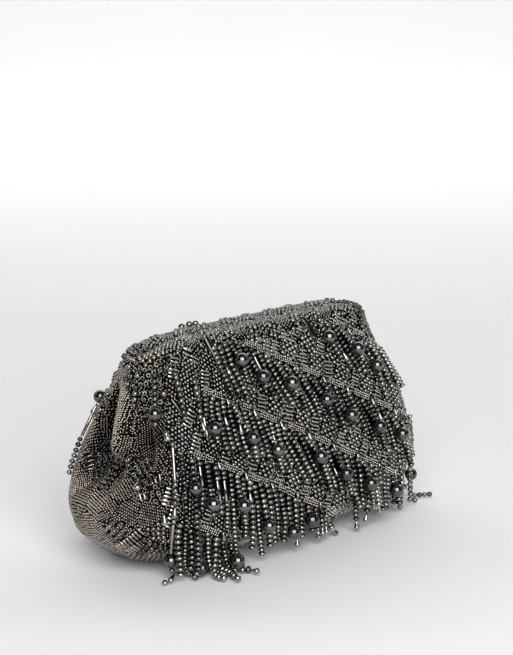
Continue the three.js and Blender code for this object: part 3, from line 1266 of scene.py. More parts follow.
class BeadWorks:
    """Geometry Nodes tree that puts a bead on every point of a tray."""

    def __init__(self) -> None:
        """Makes the materials of the finishes, the tree and the bead forms."""
        patina = patina_group()
        self.finishes = {finish.name: finish.material(patina) for finish in BEAD_FINISHES}
        self.tree = bpy.data.node_groups.new("bead_scatter", "GeometryNodeTree")
        self.forms = {shape: self.form(shape) for shape in Shape}
        self.build_tree()
        self.sockets = {
            item.name: item.identifier
            for item in self.tree.interface.items_tree
            if item.item_type == "SOCKET" and item.in_out == "INPUT"
        }

    @staticmethod
    def form(shape: Shape) -> bpy.types.Object:
        """Bead of one unit, to be repeated."""
        points, faces = BEAD_FORMS[shape]
        return object_of(mesh_of(f"form_{shape.value}", points / MM, faces))

    def build_tree(self) -> None:
        """Builds the tree: bead on each point, sized with a little chance, realized and dressed."""
        inputs = {
            "Points": "NodeSocketGeometry",
            "Bead": "NodeSocketObject",
            "Size Jitter": "NodeSocketFloat",
            "Seed": "NodeSocketInt",
            "Finish": "NodeSocketMaterial",
        }
        group_sockets(self.tree, "INPUT", inputs)
        group_sockets(self.tree, "OUTPUT", {"Beads": "NodeSocketGeometry"})
        sheet = NodeSheet(self.tree)
        given = sheet.add("NodeGroupInput")
        made = sheet.add("NodeGroupOutput")
        bead = sheet.add("GeometryNodeObjectInfo")
        sheet.join(given, "Bead", bead, "Object")
        turn = sheet.add("GeometryNodeInputNamedAttribute", {"Name": "turn"}, data_type="QUATERNION")
        size = sheet.add("GeometryNodeInputNamedAttribute", {"Name": "size"}, data_type="FLOAT_VECTOR")
        chance = sheet.add("FunctionNodeRandomValue", data_type="FLOAT")
        sheet.join(given, "Seed", chance, "Seed")
        for bound, operation in ((LOW, "SUBTRACT"), (HIGH, "ADD")):
            limit = sheet.add("ShaderNodeMath", {0: 1.0}, operation=operation)
            sheet.join(given, "Size Jitter", limit, 1)
            sheet.join(limit, 0, chance, bound)
        scale = sheet.add("ShaderNodeVectorMath", operation="SCALE")
        sheet.join(size, 0, scale, 0)
        sheet.join(chance, DRAWN, scale, "Scale")
        scatter = sheet.add("GeometryNodeInstanceOnPoints")
        sheet.join(given, "Points", scatter, "Points")
        sheet.join(bead, "Geometry", scatter, "Instance")
        sheet.join(turn, 0, scatter, "Rotation")
        sheet.join(scale, 0, scatter, "Scale")
        realize = sheet.add("GeometryNodeRealizeInstances")
        sheet.join(scatter, "Instances", realize, "Geometry")
        last = realize
        for spent in ("turn", "size"):
            remove = sheet.add("GeometryNodeRemoveAttribute", {"Name": spent})
            sheet.join(last, "Geometry", remove, "Geometry")
            last = remove
        dress = sheet.add("GeometryNodeSetMaterial")
        sheet.join(last, "Geometry", dress, "Geometry")
        sheet.join(given, "Finish", dress, "Material")
        sheet.join(dress, "Geometry", made, "Beads")

    def piece(self, name: str, shape: Shape, tray: Tray, finish: BeadFinish) -> bpy.types.Object:
        """Beads of a tray as one plain mesh.

        Args:
            name: Name of the piece.
            shape: Shape of the beads.
            tray: Where they go.
            finish: Their finish.

        Returns:
            The piece.
        """
        points = tray.points(f"{name}_points")
        modifier = points.modifiers.new("beads", "NODES")
        modifier.node_group = self.tree
        modifier[self.sockets["Bead"]] = self.forms[shape]
        modifier[self.sockets["Size Jitter"]] = SIZE_JITTER[shape]
        modifier[self.sockets["Seed"]] = SEED
        modifier[self.sockets["Finish"]] = self.finishes[finish.name]
        depsgraph = bpy.context.evaluated_depsgraph_get()
        mesh = bpy.data.meshes.new_from_object(points.evaluated_get(depsgraph), depsgraph=depsgraph)
        mesh.name = name
        mesh.shade_smooth()
        points.modifiers.remove(modifier)
        bpy.data.objects.remove(points)
        return object_of(mesh)

    def put_away(self) -> None:
        """Removes the bead forms once every piece is made."""
        for form in self.forms.values():
            bpy.data.objects.remove(form)


class Room:
    """Record of the space that sewn beads take, as small balls in a grid of cells."""

    CELL = 4.0

    def __init__(self) -> None:
        """Starts empty."""
        self.cells: dict[tuple[int, int, int], list[tuple[float, float, float, float]]] = {}

    def key(self, point: np.ndarray) -> tuple[int, int, int]:
        """Cell of a point."""
        return tuple(int(math.floor(value / self.CELL)) for value in point)

    def free(self, point: np.ndarray, radius: float, share: float) -> bool:
        """Says whether a ball fits.

        Args:
            point: Its centre.
            radius: Its radius.
            share: Part of the two radii that has to stay clear.

        Returns:
            True where it fits.
        """
        i, j, k = self.key(point)
        x, y, z = point
        for a in (i - 1, i, i + 1):
            for b in (j - 1, j, j + 1):
                for c in (k - 1, k, k + 1):
                    for px, py, pz, taken in self.cells.get((a, b, c), ()):
                        reach = share * (radius + taken)
                        if (px - x) ** 2 + (py - y) ** 2 + (pz - z) ** 2 < reach * reach:
                            return False
        return True

    def take(self, point: np.ndarray, radius: float) -> None:
        """Marks a ball's space as taken."""
        self.cells.setdefault(self.key(point), []).append((*point, radius))


@dataclass
class BandPlan:
    """Slanting bands of a face: strips of dots along lines that fall to the right, one below another."""

    slope: float = 0.54
    cell: float = 18.6
    strip: float = 12.0
    sewn_below: float = 0.6
    bare_below: float = 15.0
    bare_above: float = 26.0
    bare_top: float = 128.0
    bare_start: float = 9.0
    bare_end: float = 5.0
    bare_level: float = 0.0
    highest: float = 130.0
    lowest: float = 20.0
    reach: float = 99.0
    fine_left: float = -38.0
    back_end: float = 80.0
    tiers: tuple[Tier, ...] = (
        Tier(160.5, 44, 97),
        Tier(118, -44, 101),
        Tier(75.5, -60, 104),
        Tier(33, -84, 34),
        Tier(-9.5, -90, -42),
    )

    @property
    def angle(self) -> float:
        """Fall of the lines."""
        return math.atan(self.slope)

    def line_height(self, level: float, right: float) -> float:
        """Height of a line at a place along the face."""
        return level - self.slope * right

    def tiers_of(self, face: Face) -> list[Tier]:
        """Lines of one face: those of the back stop short of its near end."""
        if face is Face.FRONT:
            return list(self.tiers)
        return [tier._replace(end=min(tier.end, self.back_end)) for tier in self.tiers]

    def bare(self, face: Face, right: float, z: float) -> bool:
        """Says whether strands hide the cloth at a place, just below any line but the lowest.

        Args:
            face: The face.
            right: Distance to the right of its middle.
            z: Height.

        Returns:
            True where no beads are sewn.
        """
        if not self.bare_above < z < self.bare_top:
            return False
        for tier in self.tiers_of(face):
            below = (self.line_height(tier.level, right) - z) * math.cos(self.angle)
            under = self.sewn_below < below < self.bare_below and tier.level > self.bare_level
            if under and tier.start + self.bare_start < right < tier.end - self.bare_end:
                return True
        return False


def anywhere(spot: Spot) -> bool:
    """Keeps every place of a patch."""
    return True


@dataclass
class Paving:
    """Small beads sewn side by side on the cloth."""

    pouch: Pouch
    surface: Surface
    bands: BandPlan
    room: Room = field(default_factory=Room)

    # How beads lie on the cloth
    patch_reach: float = 16.0
    cast_height: float = 24.0
    deepest: float = 9.0
    least_facing: float = 0.3
    clear_share: float = 0.68
    fill_share: float = 0.74
    fill_area: float = 1.6
    sink: float = 0.42
    jitter: float = 0.09
    slant_spread: Span = Span(-8, 8)
    lowest_patch: float = 6.0

    # Dotted strips and the drops beside them
    strip_start: Span = Span(0, 6)
    strip_stray: Span = Span(-1, 1)
    strip_rows: float = 1.6
    strip_lift: float = 3.4
    hook_below: float = 1.0
    hook_lift: float = 1.6
    hook_slant: float = -80.0
    hook_share: float = 0.4

    # Rolled top edge
    ridge_reach: float = 80.0
    ridge_step: float = 9.0
    ridge_half: float = 5.5
    ridge_lean: float = 0.25
    ridge_slants: Span = Span(-50, -10)

    # Shades, and the painted shade of the folds that darken them
    patch_tones: Span = Span(0.38, 0.62)
    tone_spread: float = 0.13
    fill_tone: float = 0.4
    strip_tone: float = 0.95
    hook_tone: float = 0.6
    ridge_tone: float = 0.5
    sky_rays: int = 12
    sky_reach: float = 42.0
    sky_lift: float = 1.5
    sky_fall: float = 0.85
    shade_floor: float = 0.08
    shade_power: float = 1.4
    trays: dict[tuple[Face, Shape], Tray] = field(default_factory=dict)

    def __post_init__(self) -> None:
        """Starts the seeded chance and lays out the rays that look for folds."""
        self.chance = np.random.default_rng(SEED)
        steps = np.arange(self.sky_rays) + 0.5
        turn = steps * math.pi * (3 - math.sqrt(5))
        rise = 1 - self.sky_fall * steps / self.sky_rays
        level = np.sqrt(1 - rise * rise)
        self.sky = np.column_stack((level * np.cos(turn), level * np.sin(turn), rise))

    def openness(self, spot: Spot) -> float:
        """Share of the room that a place on the cloth sees past the folds.

        Args:
            spot: The place.

        Returns:
            The share, from 0 to 1.
        """
        along, across = self.axes(spot, 0.0)
        start = Vector(spot.point + spot.normal * self.sky_lift)
        seen = 0
        for ray in self.sky @ np.array((along, across, spot.normal)):
            seen += self.surface.tree.ray_cast(start, Vector(ray), self.sky_reach)[0] is None
        return seen / self.sky_rays

    def tray(self, face: Face, shape: Shape) -> Tray:
        """Tray of one shape on one wall."""
        return self.trays.setdefault((face, shape), Tray())

    def spot(self, face: Face, right: float, z: float) -> Optional[Spot]:
        """Place on a wall, seen square on.

        Args:
            face: The wall.
            right: Distance to the right of its middle.
            z: Height.

        Returns:
            The place, or None past the wall's edge.
        """
        origin = face.right * right + UP * z + face.outward * CAST_FROM
        return self.surface.cast(origin, -face.outward)

    def sew(self, stitch: Stitch, spot: Spot, along: np.ndarray, share: float, tone: float) -> bool:
        """Sews one bead down if there is room.

        Args:
            stitch: How it is sewn.
            spot: Where.
            along: Direction of its thread.
            share: Part of its width that has to stay clear of others.
            tone: Middle of its shade.

        Returns:
            True where it was sewn.
        """
        length, width, height = stitch.size
        place = spot.point + spot.normal * height * self.sink
        along = unit(along - spot.normal * (along @ spot.normal))
        balls = max(1, round(length / width))
        centres = [place + along * (length - width) * (i / max(balls - 1, 1) - 0.5) for i in range(balls)]
        if not all(self.room.free(centre, width / 2, share) for centre in centres):
            return False
        for centre in centres:
            self.room.take(centre, width / 2)
        # The tone carries painted shade of the folds and painted light of the pleat
        tone = float(np.clip(self.chance.normal(tone, self.tone_spread), 0, 1)) * self.shade(spot)
        self.tray(spot.face, stitch.shape).add(place, along, spot.normal, stitch.size, tone)
        return True

    def shade(self, spot: Spot) -> float:
        """Share of its tone that a bead keeps: painted shade where folds hide the room, times the charted
        painted shade and painted light.

        Args:
            spot: Place of the bead.

        Returns:
            The share, from 0 to 1.
        """
        # Painted shade where the cloth round the bead hides the room
        share = self.shade_floor + (1 - self.shade_floor) * self.openness(spot) ** self.shade_power
        if not spot.face.is_panel:
            # Painted shade in the folds and at the foot of the end walls, painted light on the pleat
            for shadow in PAINTED_SHADING:
                aside = (-spot.point[1] - shadow.right) / shadow.width
                above = (spot.point[2] - shadow.z) / shadow.height
                share *= 1 - shadow.depth * math.exp(-((aside * aside + above * above) ** 2))
        return share

    def lattice(self, stitch: Stitch, reach: float, height: float) -> Iterator[tuple[float, float]]:
        """Places of a weave round zero.

        Args:
            stitch: The weave's stitch.
            reach: Half length of its rows.
            height: Half height of the rows together.

        Yields:
            Distance along the row and across it.
        """
        rows = int(height / stitch.row_pitch)
        steps = int(reach / stitch.pitch)
        for row in range(-rows, rows + 1):
            shift = stitch.stagger * (row % 2)
            for step in range(-steps, steps + 1):
                yield (step + shift) * stitch.pitch, row * stitch.row_pitch

    def axes(self, spot: Spot, slant: float) -> tuple[np.ndarray, np.ndarray]:
        """Directions along and across the rows of a patch.

        Args:
            spot: Its middle.
            slant: Slant of its rows in degrees.

        Returns:
            The two directions, in the cloth.
        """
        right = unit(np.cross(UP, spot.normal))
        above = np.cross(spot.normal, right)
        turn = math.radians(slant)
        along = math.cos(turn) * right + math.sin(turn) * above
        return along, np.cross(spot.normal, along)

    def patch(
        self,
        weave: Weave,
        middle: Spot,
        slant: float,
        half: tuple[float, float],
        keep: Callable[[Spot], bool],
        tone: float,
        lift: float = 0.0,
    ) -> None:
        """Sews one patch.

        Args:
            weave: Its weave.
            middle: Its middle.
            slant: Slant of its rows in degrees.
            half: Half length and half height.
            keep: Says which places belong to it.
            tone: Middle of its shade.
            lift: Distance at which it stands off the cloth.
        """
        stitch = STITCHES[weave]
        along, across = self.axes(middle, slant)
        for ahead, aside in self.lattice(stitch, *half):
            ahead, aside = np.array((ahead, aside)) + self.chance.normal(0, self.jitter, 2)
            origin = middle.point + along * ahead + across * aside
            spot = self.surface.cast(origin + middle.normal * self.cast_height, -middle.normal)
            if spot is None or spot.face is not middle.face:
                continue
            if spot.normal @ middle.normal < self.least_facing:
                continue
            if abs((spot.point - origin) @ middle.normal) > self.deepest or not keep(spot):
                continue
            spot = spot._replace(point=spot.point + spot.normal * lift)
            self.sew(stitch, spot, along, self.clear_share, tone)

    def mosaic(self, face: Face, patches: Sequence[Patch], keep: Callable[[Spot], bool]) -> None:
        """Sews patches side by side, each up to half way to its neighbours.

        Args:
            face: The wall.
            patches: The patches.
            keep: Says which places are sewn at all.
        """
        middles = [self.spot(face, patch.right, patch.z) for patch in patches]
        placed = [
            (patch, middle)
            for patch, middle in zip(patches, middles)
            if middle is not None and middle.face is face
        ]
        points = np.array([middle.point for _, middle in placed])
        for index, (patch, middle) in enumerate(placed):
            def own(spot: Spot, index: int = index) -> bool:
                """True where this patch is the nearest one."""
                return keep(spot) and int(np.argmin(((points - spot.point) ** 2).sum(1))) == index

            change = (PANEL_TONES if face.is_panel else GUSSET_TONES).get(patch.weave, 0.0)
            tone = self.patch_tones.draw(self.chance) + change
            self.patch(patch.weave, middle, patch.slant, (self.patch_reach,) * 2, own, tone)

    def fill(self, face: Face, keep: Callable[[Spot], bool]) -> None:
        """Sews seeds wherever there is still room on a wall.

        Args:
            face: The wall.
            keep: Says which places are sewn at all.
        """
        grid = self.pouch.grids[face]
        stitch = STITCHES[Weave.SEEDS]
        rows = self.pouch.body_rows + self.pouch.neck_rows + self.pouch.roll_rows - 2
        for row in range(rows):
            for column in range(grid.shape[1] - 1):
                corner = grid[row, column]
                along = grid[row, column + 1] - corner
                above = grid[row + 1, column] - corner
                normal = unit(np.cross(along, above))
                area = np.linalg.norm(along) * np.linalg.norm(above)
                tries = max(1, round(area / self.fill_area))
                for _ in range(tries):
                    a, b = self.chance.random(2)
                    spot = Spot(corner + along * a + above * b, normal, face)
                    if keep(spot):
                        self.sew(stitch, spot, along, self.fill_share, self.fill_tone)

    def singles(self) -> None:
        """Sews the beads that are charted one by one."""
        for single in SINGLES:
            spot = self.spot(single.wall, single.right, single.z)
            along, _ = self.axes(spot, single.slant)
            raised = spot._replace(point=spot.point + spot.normal * single.lift)
            stitch = Stitch(single.shape, single.size)
            self.sew(stitch, raised, along, 0.0, SINGLE_TONES[single.shape])

    def pave_gusset(self, face: Face) -> None:
        """Paves an end wall with its patches and fills what is left."""
        flip = 1.0 if face is Face.NEAR else -1.0
        patches = [Patch(flip * p.right, p.z, p.weave, flip * p.slant) for p in GUSSET_PATCHES]
        self.mosaic(face, patches, anywhere)
        self.fill(face, anywhere)

    def pave_panel(self, face: Face) -> None:
        """Paves a long wall: dotted strips, then the ridge, then patches and seeds in what is left."""
        bands = self.bands
        slant = -math.degrees(bands.angle)

        def shown(spot: Spot) -> bool:
            """True where strands leave the cloth in view."""
            return not bands.bare(face, float(spot.point @ face.right), float(spot.point[2]))

        patches = []
        for tier in bands.tiers_of(face):
            right = -bands.reach + self.strip_start.draw(self.chance)
            while right < bands.reach:
                if tier.start <= right < tier.end:
                    self.strip(face, tier.level, right, slant)
                patches.extend(self.cell_patches(tier.level, right, slant))
                right += bands.cell + self.strip_stray.draw(self.chance)
        self.ridge(face)
        self.mosaic(face, patches, shown)
        self.fill(face, shown)

    def strip(self, face: Face, level: float, right: float, slant: float) -> None:
        """Sews one dotted strip and the drop that hangs beside it.

        Args:
            face: The wall.
            level: Height of the strip's line at the middle of the face.
            right: Start of the strip.
            slant: Its slant in degrees.
        """
        bands = self.bands
        middle = right + bands.strip / 2
        height = bands.line_height(level, middle)
        spot = self.spot(face, middle, height)
        if spot is None or spot.face is not face or not bands.lowest < height < bands.highest:
            return
        half = (bands.strip / 2 / math.cos(bands.angle), self.strip_rows)
        self.patch(Weave.DOTS, spot, slant, half, anywhere, self.strip_tone, self.strip_lift)
        gap = right + (bands.strip + bands.cell) / 2
        hook = self.spot(face, gap, bands.line_height(level, gap) - self.hook_below)
        if hook is not None:
            down, _ = self.axes(hook, self.hook_slant)
            raised = hook._replace(point=hook.point + hook.normal * self.hook_lift)
            self.sew(HOOK, raised, down, self.hook_share, self.hook_tone)

    def cell_patches(self, level: float, right: float, slant: float) -> list[Patch]:
        """Patches above one strip: ladders and meshes, and grains higher up.

        Args:
            level: Height of the strip's line at the middle of the face.
            right: Start of the strip.
            slant: Its slant in degrees.

        Returns:
            The patches.
        """
        fall, rise = math.sin(self.bands.angle), math.cos(self.bands.angle)
        patches = []
        for cell in CELL_PATCHES:
            place = right + cell.along + fall * cell.above
            height = self.bands.line_height(level, right + cell.along) + rise * cell.above
            fine = cell.weave is Weave.MESH and place < self.bands.fine_left
            if self.lowest_patch < height < self.bands.highest and abs(place) < self.bands.reach:
                turn = slant + cell.slant + self.slant_spread.draw(self.chance)
                patches.append(Patch(place, height, Weave.GRAINS if fine else cell.weave, turn))
        return patches

    def ridge(self, face: Face) -> None:
        """Paves the rolled top edge with short patches of round beads, grains and seeds."""
        places = np.arange(-self.ridge_reach, self.ridge_reach + 1, self.ridge_step)
        half = (self.ridge_half, self.pouch.lip_radius)
        for index, right in enumerate(places):
            origin = face.right * right + face.outward * self.pouch.frame_depth + UP * CAST_FROM
            spot = self.surface.cast(origin, -UP)
            leaning = spot._replace(normal=unit(spot.normal + face.outward * self.ridge_lean))
            weave = RIDGE_WEAVES[index % len(RIDGE_WEAVES)]
            slant = self.ridge_slants.draw(self.chance)
            self.patch(weave, leaning, slant, half, anywhere, self.ridge_tone)


@dataclass
class Strand:
    """Hanging strand: where it is sewn on, its beads from the top, its lean and its way along the floor."""

    root: Spot
    beads: list[StrandBead]
    lean: np.ndarray
    heading: np.ndarray


@dataclass
class Fringe:
    """Bead strands of one face, hung from the dotted strips and settled under their own weight."""

    face: Face
    paving: Paving

    # Where strands are sewn on
    spacing: float = 4.8
    spacing_range: Span = Span(0.85, 1.15)
    doubled: float = 0.15
    double_drop: float = 3.0
    root_drop: float = 3.4
    root_stray: float = 0.6
    lowest_root: float = 13.0
    lowest_double: float = 16.0
    highest_root: float = 129.0
    hem_root: float = 52.0
    least_facing: float = 0.35

    # Their beads
    bead_width: float = 4.15
    width_range: Span = Span(0.9, 1.16)
    hem_width: float = 1.1
    bead_share: float = 0.63
    bead_gap: float = 0.05
    extra_range: Span = Span(0.2, 0.7)
    extra_above: float = 24.0
    tube_share: float = 0.2
    drop_share: float = 0.16
    tube_lengths: Span = Span(12, 16)
    tube_width: float = 2.0
    drop_ends: float = 0.4

    # Their lengths, and how far they pass the height of their roots or fall short of it
    usual_length: float = 41.0
    length_range: Span = Span(0.76, 1.04)
    corner: float = -76.0
    corner_spare: Span = Span(-2, 6)
    splay_left: float = -50.0
    splay_spare: Span = Span(4, 22)
    right_start: float = 44.0
    right_short: Span = Span(2, 9)
    hem_short: Span = Span(1, 7)
    middle_short: Span = Span(2, 8)

    # Their slant and their way along the floor
    steepest_lean: float = 0.42
    back_lean: float = 0.12
    lean_start: float = -65.0
    lean_run: float = 60.0
    lean_foot: float = 20.0
    lean_rise: float = 60.0
    least_lean: float = 0.35
    stray: float = 0.05
    hem_stray: float = 0.12
    turn: float = 0.15
    turn_spread: float = 0.6

    # Their large beads
    path_share: float = 1.1
    pearl_lean: float = 0.7
    pearl_drops: Span = Span(6, 48)
    pearl_usual_drop: float = 24.0
    pearl_drop_cost: float = 0.12
    pearl_tail: float = 4.0

    # How they settle
    layer: float = 1.6
    root_radius: float = 0.4
    settle_steps: int = 110
    settle_rounds: int = 5
    weight_step: float = 0.35
    pair_steps: int = 5
    pair_reach: float = 0.6
    push_share: float = 0.45

    # Their shades
    base_tones: Span = Span(0.15, 0.5)
    bright_tone: float = 0.8
    tone_spread: float = 0.16
    least_side: float = 0.1
    trays: dict[Shape, Tray] = field(default_factory=dict)

    def __post_init__(self) -> None:
        """Starts the seeded chance of this face."""
        self.chance = np.random.default_rng(SEED + (1 if self.face is Face.FRONT else 2))
        self.strands: list[Strand] = []

    def special_bead(
        self, length: float, height: float, pearl: Optional[tuple[float, float]]
    ) -> tuple[Optional[StrandBead], float]:
        """Bead of another shape on a strand: its large bead, or now and then a tube or a drop.

        Args:
            length: Length of the strand.
            height: Height of its root.
            pearl: Distance from the top and width of its large bead, or None.

        Returns:
            The bead, or None, and its distance from the top.
        """
        if pearl is not None:
            return StrandBead(Shape.PEARL, pearl[1], pearl[1]), pearl[0]
        place = self.extra_range.draw(self.chance) * length
        bead = None
        if height - place > self.extra_above:
            draw = self.chance.random()
            if draw < self.tube_share:
                bead = StrandBead(Shape.TUBE, self.tube_lengths.draw(self.chance), self.tube_width)
            elif draw < self.tube_share + self.drop_share:
                bead = EXTRA_DROP
        return bead, place

    def string_beads(
        self, length: float, height: float, pearl: Optional[tuple[float, float]]
    ) -> list[StrandBead]:
        """Beads of one strand.

        Args:
            length: Length of the strand.
            height: Height of its root.
            pearl: Distance from the top and width of its large bead, or None.

        Returns:
            The beads from the top.
        """
        width = self.bead_width * self.width_range.draw(self.chance)
        if height < self.hem_root:
            width *= self.hem_width
        plain = StrandBead(Shape.ROUND, width * self.bead_share, width)
        special, special_at = self.special_bead(length, height, pearl)
        beads, used = [], 0.0
        while used < length - width:
            if special is not None and used >= special_at - width:
                beads.append(special)
                special = None
            else:
                beads.append(plain)
            used += beads[-1].length + self.bead_gap
        ends_in_drop = height < self.hem_root and self.chance.random() < self.drop_ends
        if ends_in_drop and beads[-1] is plain:
            beads[-1] = END_DROP
        return beads

    @staticmethod
    def heading(wall: Face, turn: float) -> np.ndarray:
        """Way along the floor, outward from a wall and turned to the right."""
        return math.cos(turn) * wall.outward + math.sin(turn) * wall.right

    def lean(self, place: float, height: float) -> float:
        """How strands slant to the right, more so away from the left end of the front and from the hem.

        Args:
            place: Distance to the right of the face's middle.
            height: Height of the root.

        Returns:
            The sideways pull for a pull of one down.
        """
        if self.face is Face.BACK:
            return -self.back_lean
        along = np.clip((place - self.lean_start) / self.lean_run, 0, 1)
        above = np.clip((height - self.lean_foot) / self.lean_rise, self.least_lean, 1)
        return self.steepest_lean * float(along * above)

    def roots(self) -> list[tuple[float, float]]:
        """Places and heights at which strands are sewn on along every tier."""
        bands = self.paving.bands
        roots = []
        for tier in bands.tiers_of(self.face):
            place = float(tier.start)
            while place < tier.end:
                height = min(bands.line_height(tier.level, place) - self.root_drop, self.highest_root)
                if height > self.lowest_root:
                    roots.append((place, height + float(self.chance.normal(0, self.root_stray))))
                if height > self.lowest_double and self.chance.random() < self.doubled:
                    roots.append((place + self.spacing / 2, height - self.double_drop))
                wide = self.hem_width if height < self.hem_root else 1.0
                place += self.spacing * wide * self.spacing_range.draw(self.chance)
        return roots

    def plan(self) -> None:
        """Hangs strands along every tier, with the charted large beads, then the loose ones."""
        roots = self.roots()
        pearls = self.share_pearls(roots)
        for index, (place, height) in enumerate(roots):
            self.hang(place, height, self.length_of(place, height), pearls.get(index))
        for loose in LOOSE_STRANDS:
            if loose.fringe is self.face:
                spot = self.paving.spot(loose.wall, loose.right, loose.z)
                beads = [LOOSE_BEADS[letter] for letter in loose.beads]
                heading = self.heading(loose.wall, loose.turn)
                self.strands.append(Strand(spot, beads, loose.wall.right * loose.lean, heading))

    def length_of(self, place: float, height: float) -> float:
        """Length of a strand: short of the floor at the middle, down to it and along it at the ends.

        Args:
            place: Distance to the right of the face's middle.
            height: Height of its root.

        Returns:
            The length.
        """
        usual = self.usual_length * self.length_range.draw(self.chance)
        if place < self.corner:
            return height + self.corner_spare.draw(self.chance)
        if place < self.splay_left:
            return min(usual, height + self.splay_spare.draw(self.chance))
        if place > self.right_start and self.face is Face.FRONT:
            return min(usual, height - self.right_short.draw(self.chance))
        if height < self.hem_root:
            return height - self.hem_short.draw(self.chance)
        return min(usual, height - self.middle_short.draw(self.chance))

    def share_pearls(self, roots: Sequence[tuple[float, float]]) -> dict[int, tuple[float, float]]:
        """Finds the strand that carries each charted large bead.

        Args:
            roots: Place and height of every strand's root.

        Returns:
            Distance from the root and width of the bead, by strand.
        """
        found: dict[int, tuple[float, float]] = {}
        for pearl in PEARLS:
            best, least = None, math.inf
            for index, (place, height) in enumerate(roots):
                drop = height - pearl.z
                if index in found or not self.pearl_drops.low < drop < self.pearl_drops.high:
                    continue
                reached = place + self.lean(place, height) * drop * self.pearl_lean
                cost = self.pearl_drop_cost * max(0.0, drop - self.pearl_usual_drop)
                miss = abs(reached - pearl.right) + cost
                if miss < least:
                    best, least = index, miss
            if best is not None:
                found[best] = ((roots[best][1] - pearl.z) * self.path_share, pearl.width)
        return found

    def hang(
        self, place: float, height: float, length: float, pearl: Optional[tuple[float, float]]
    ) -> None:
        """Adds one strand.

        Args:
            place: Distance to the right of the face's middle.
            height: Height of its root.
            length: Its length.
            pearl: Distance from the root and width of its large bead, or None.
        """
        spot = self.paving.spot(self.face, place, height)
        if spot is None or spot.normal @ self.face.outward < self.least_facing:
            return
        if pearl is not None:
            length = max(length, pearl[0] + self.pearl_tail)
        beads = self.string_beads(length, height, pearl)
        stray = float(self.chance.normal(0, self.hem_stray if height < self.hem_root else self.stray))
        lean = self.face.right * (self.lean(place, height) + stray)
        turn = float(self.chance.normal(self.turn, self.turn_spread))
        self.strands.append(Strand(spot, beads, lean, self.heading(self.face, turn)))

    def march(self, strand: Strand) -> np.ndarray:
        """First lie of a strand: down the cloth, then out along the floor.

        Args:
            strand: The strand.

        Returns:
            Its root and the centres of its beads.
        """
        points = [strand.root.point + strand.root.normal * self.layer]
        ahead = 0.0
        for bead in strand.beads:
            step = ahead + bead.length / 2 + self.bead_gap
            ahead = bead.length / 2
            radius = bead.width / 2
            point = points[-1] + unit(strand.lean - UP) * step
            point = self.paving.surface.lift(point[None], np.array([self.layer + radius]))[0]
            if point[2] < bead.stand:
                point = points[-1] + strand.heading * step
                point[2] = bead.stand
            points.append(point)
        return np.array(points)

    def settle(self) -> list[np.ndarray]:
        """Lets all strands settle on the cloth, the floor and each other.

        Returns:
            Root and bead centres of every strand.
        """
        lies = [self.march(strand) for strand in self.strands]
        starts = np.cumsum([0] + [len(lie) for lie in lies])
        points = np.concatenate(lies)
        radii = np.concatenate([[self.root_radius] + [b.width / 2 for b in s.beads] for s in self.strands])
        halves = np.concatenate([[0.0] + [b.length / 2 for b in s.beads] for s in self.strands])
        stands = np.concatenate([[0.0] + [b.stand for b in s.beads] for s in self.strands])
        pinned = np.zeros(len(points), dtype=bool)
        pinned[starts[:-1]] = True
        tails = np.flatnonzero(~pinned)
        rest = halves[tails] + halves[tails - 1] + self.bead_gap
        weight = np.where(pinned, 0.0, 1.0)
        pull = np.concatenate([np.tile(s.lean - UP, (len(s.beads) + 1, 1)) for s in self.strands])
        pull *= weight[:, None] * self.weight_step
        ranks = np.concatenate([np.arange(len(lie)) for lie in lies])[tails]
        links = [(tails[ranks % 2 == odd], rest[ranks % 2 == odd]) for odd in (0, 1)]
        pairs = np.zeros((0, 2), dtype=int)
        for step in range(self.settle_steps):
            points += pull * (1 - step / self.settle_steps)
            if step % self.pair_steps == 0:
                pairs = self.close_pairs(points, radii, pinned)
            for _ in range(self.settle_rounds):
                self.part(points, radii, weight, pairs)
                for ends, lengths in links:
                    self.tie(points, weight, ends, lengths)
                points[~pinned, 2] = np.maximum(points[~pinned, 2], stands[~pinned])
            points[tails] = self.paving.surface.lift(points[tails], self.layer + radii[tails])
        points[~pinned, 2] = np.maximum(points[~pinned, 2], stands[~pinned])
        return [points[a:b] for a, b in zip(starts[:-1], starts[1:])]

    def close_pairs(self, points: np.ndarray, radii: np.ndarray, pinned: np.ndarray) -> np.ndarray:
        """Pairs of beads near enough to touch.

        Args:
            points: Bead centres.
            radii: Bead radii.
            pinned: Marks the roots, which touch nothing.

        Returns:
            Two indices for each pair.
        """
        tree = KDTree(len(points))
        for i, point in enumerate(points):
            tree.insert(point, i)
        tree.balance()
        widest = float(radii.max())
        pairs = []
        for i in np.flatnonzero(~pinned):
            for _, j, gap in tree.find_range(points[i], radii[i] + widest + self.pair_reach):
                if j > i + 1 and not pinned[j] and gap < radii[i] + radii[j] + self.pair_reach:
                    pairs.append((i, j))
        return np.array(pairs, dtype=int).reshape(-1, 2)

    def part(
        self, points: np.ndarray, radii: np.ndarray, weight: np.ndarray, pairs: np.ndarray
    ) -> None:
        """Moves touching beads apart.

        Args:
            points: Bead centres, changed in place.
            radii: Bead radii.
            weight: Zero for what can't move.
            pairs: Pairs that may touch.
        """
        if not len(pairs):
            return
        first, second = pairs[:, 0], pairs[:, 1]
        apart = points[second] - points[first]
        distance = np.linalg.norm(apart, axis=1) + TINY
        overlap = np.maximum(0, radii[first] + radii[second] - distance)
        push = apart * (self.push_share * overlap / distance)[:, None]
        np.add.at(points, first, -push * weight[first, None])
        np.add.at(points, second, push * weight[second, None])

    @staticmethod
    def tie(points: np.ndarray, weight: np.ndarray, ends: np.ndarray, lengths: np.ndarray) -> None:
        """Pulls neighbours on a thread to their distance.

        Args:
            points: Bead centres, changed in place.
            weight: Zero for what can't move.
            ends: Lower bead of each link.
            lengths: Length of each link.
        """
        apart = points[ends] - points[ends - 1]
        distance = np.linalg.norm(apart, axis=1) + TINY
        pull = apart * ((distance - lengths) / distance / (weight[ends] + weight[ends - 1]))[:, None]
        points[ends] -= pull * weight[ends, None]
        points[ends - 1] += pull * weight[ends - 1, None]

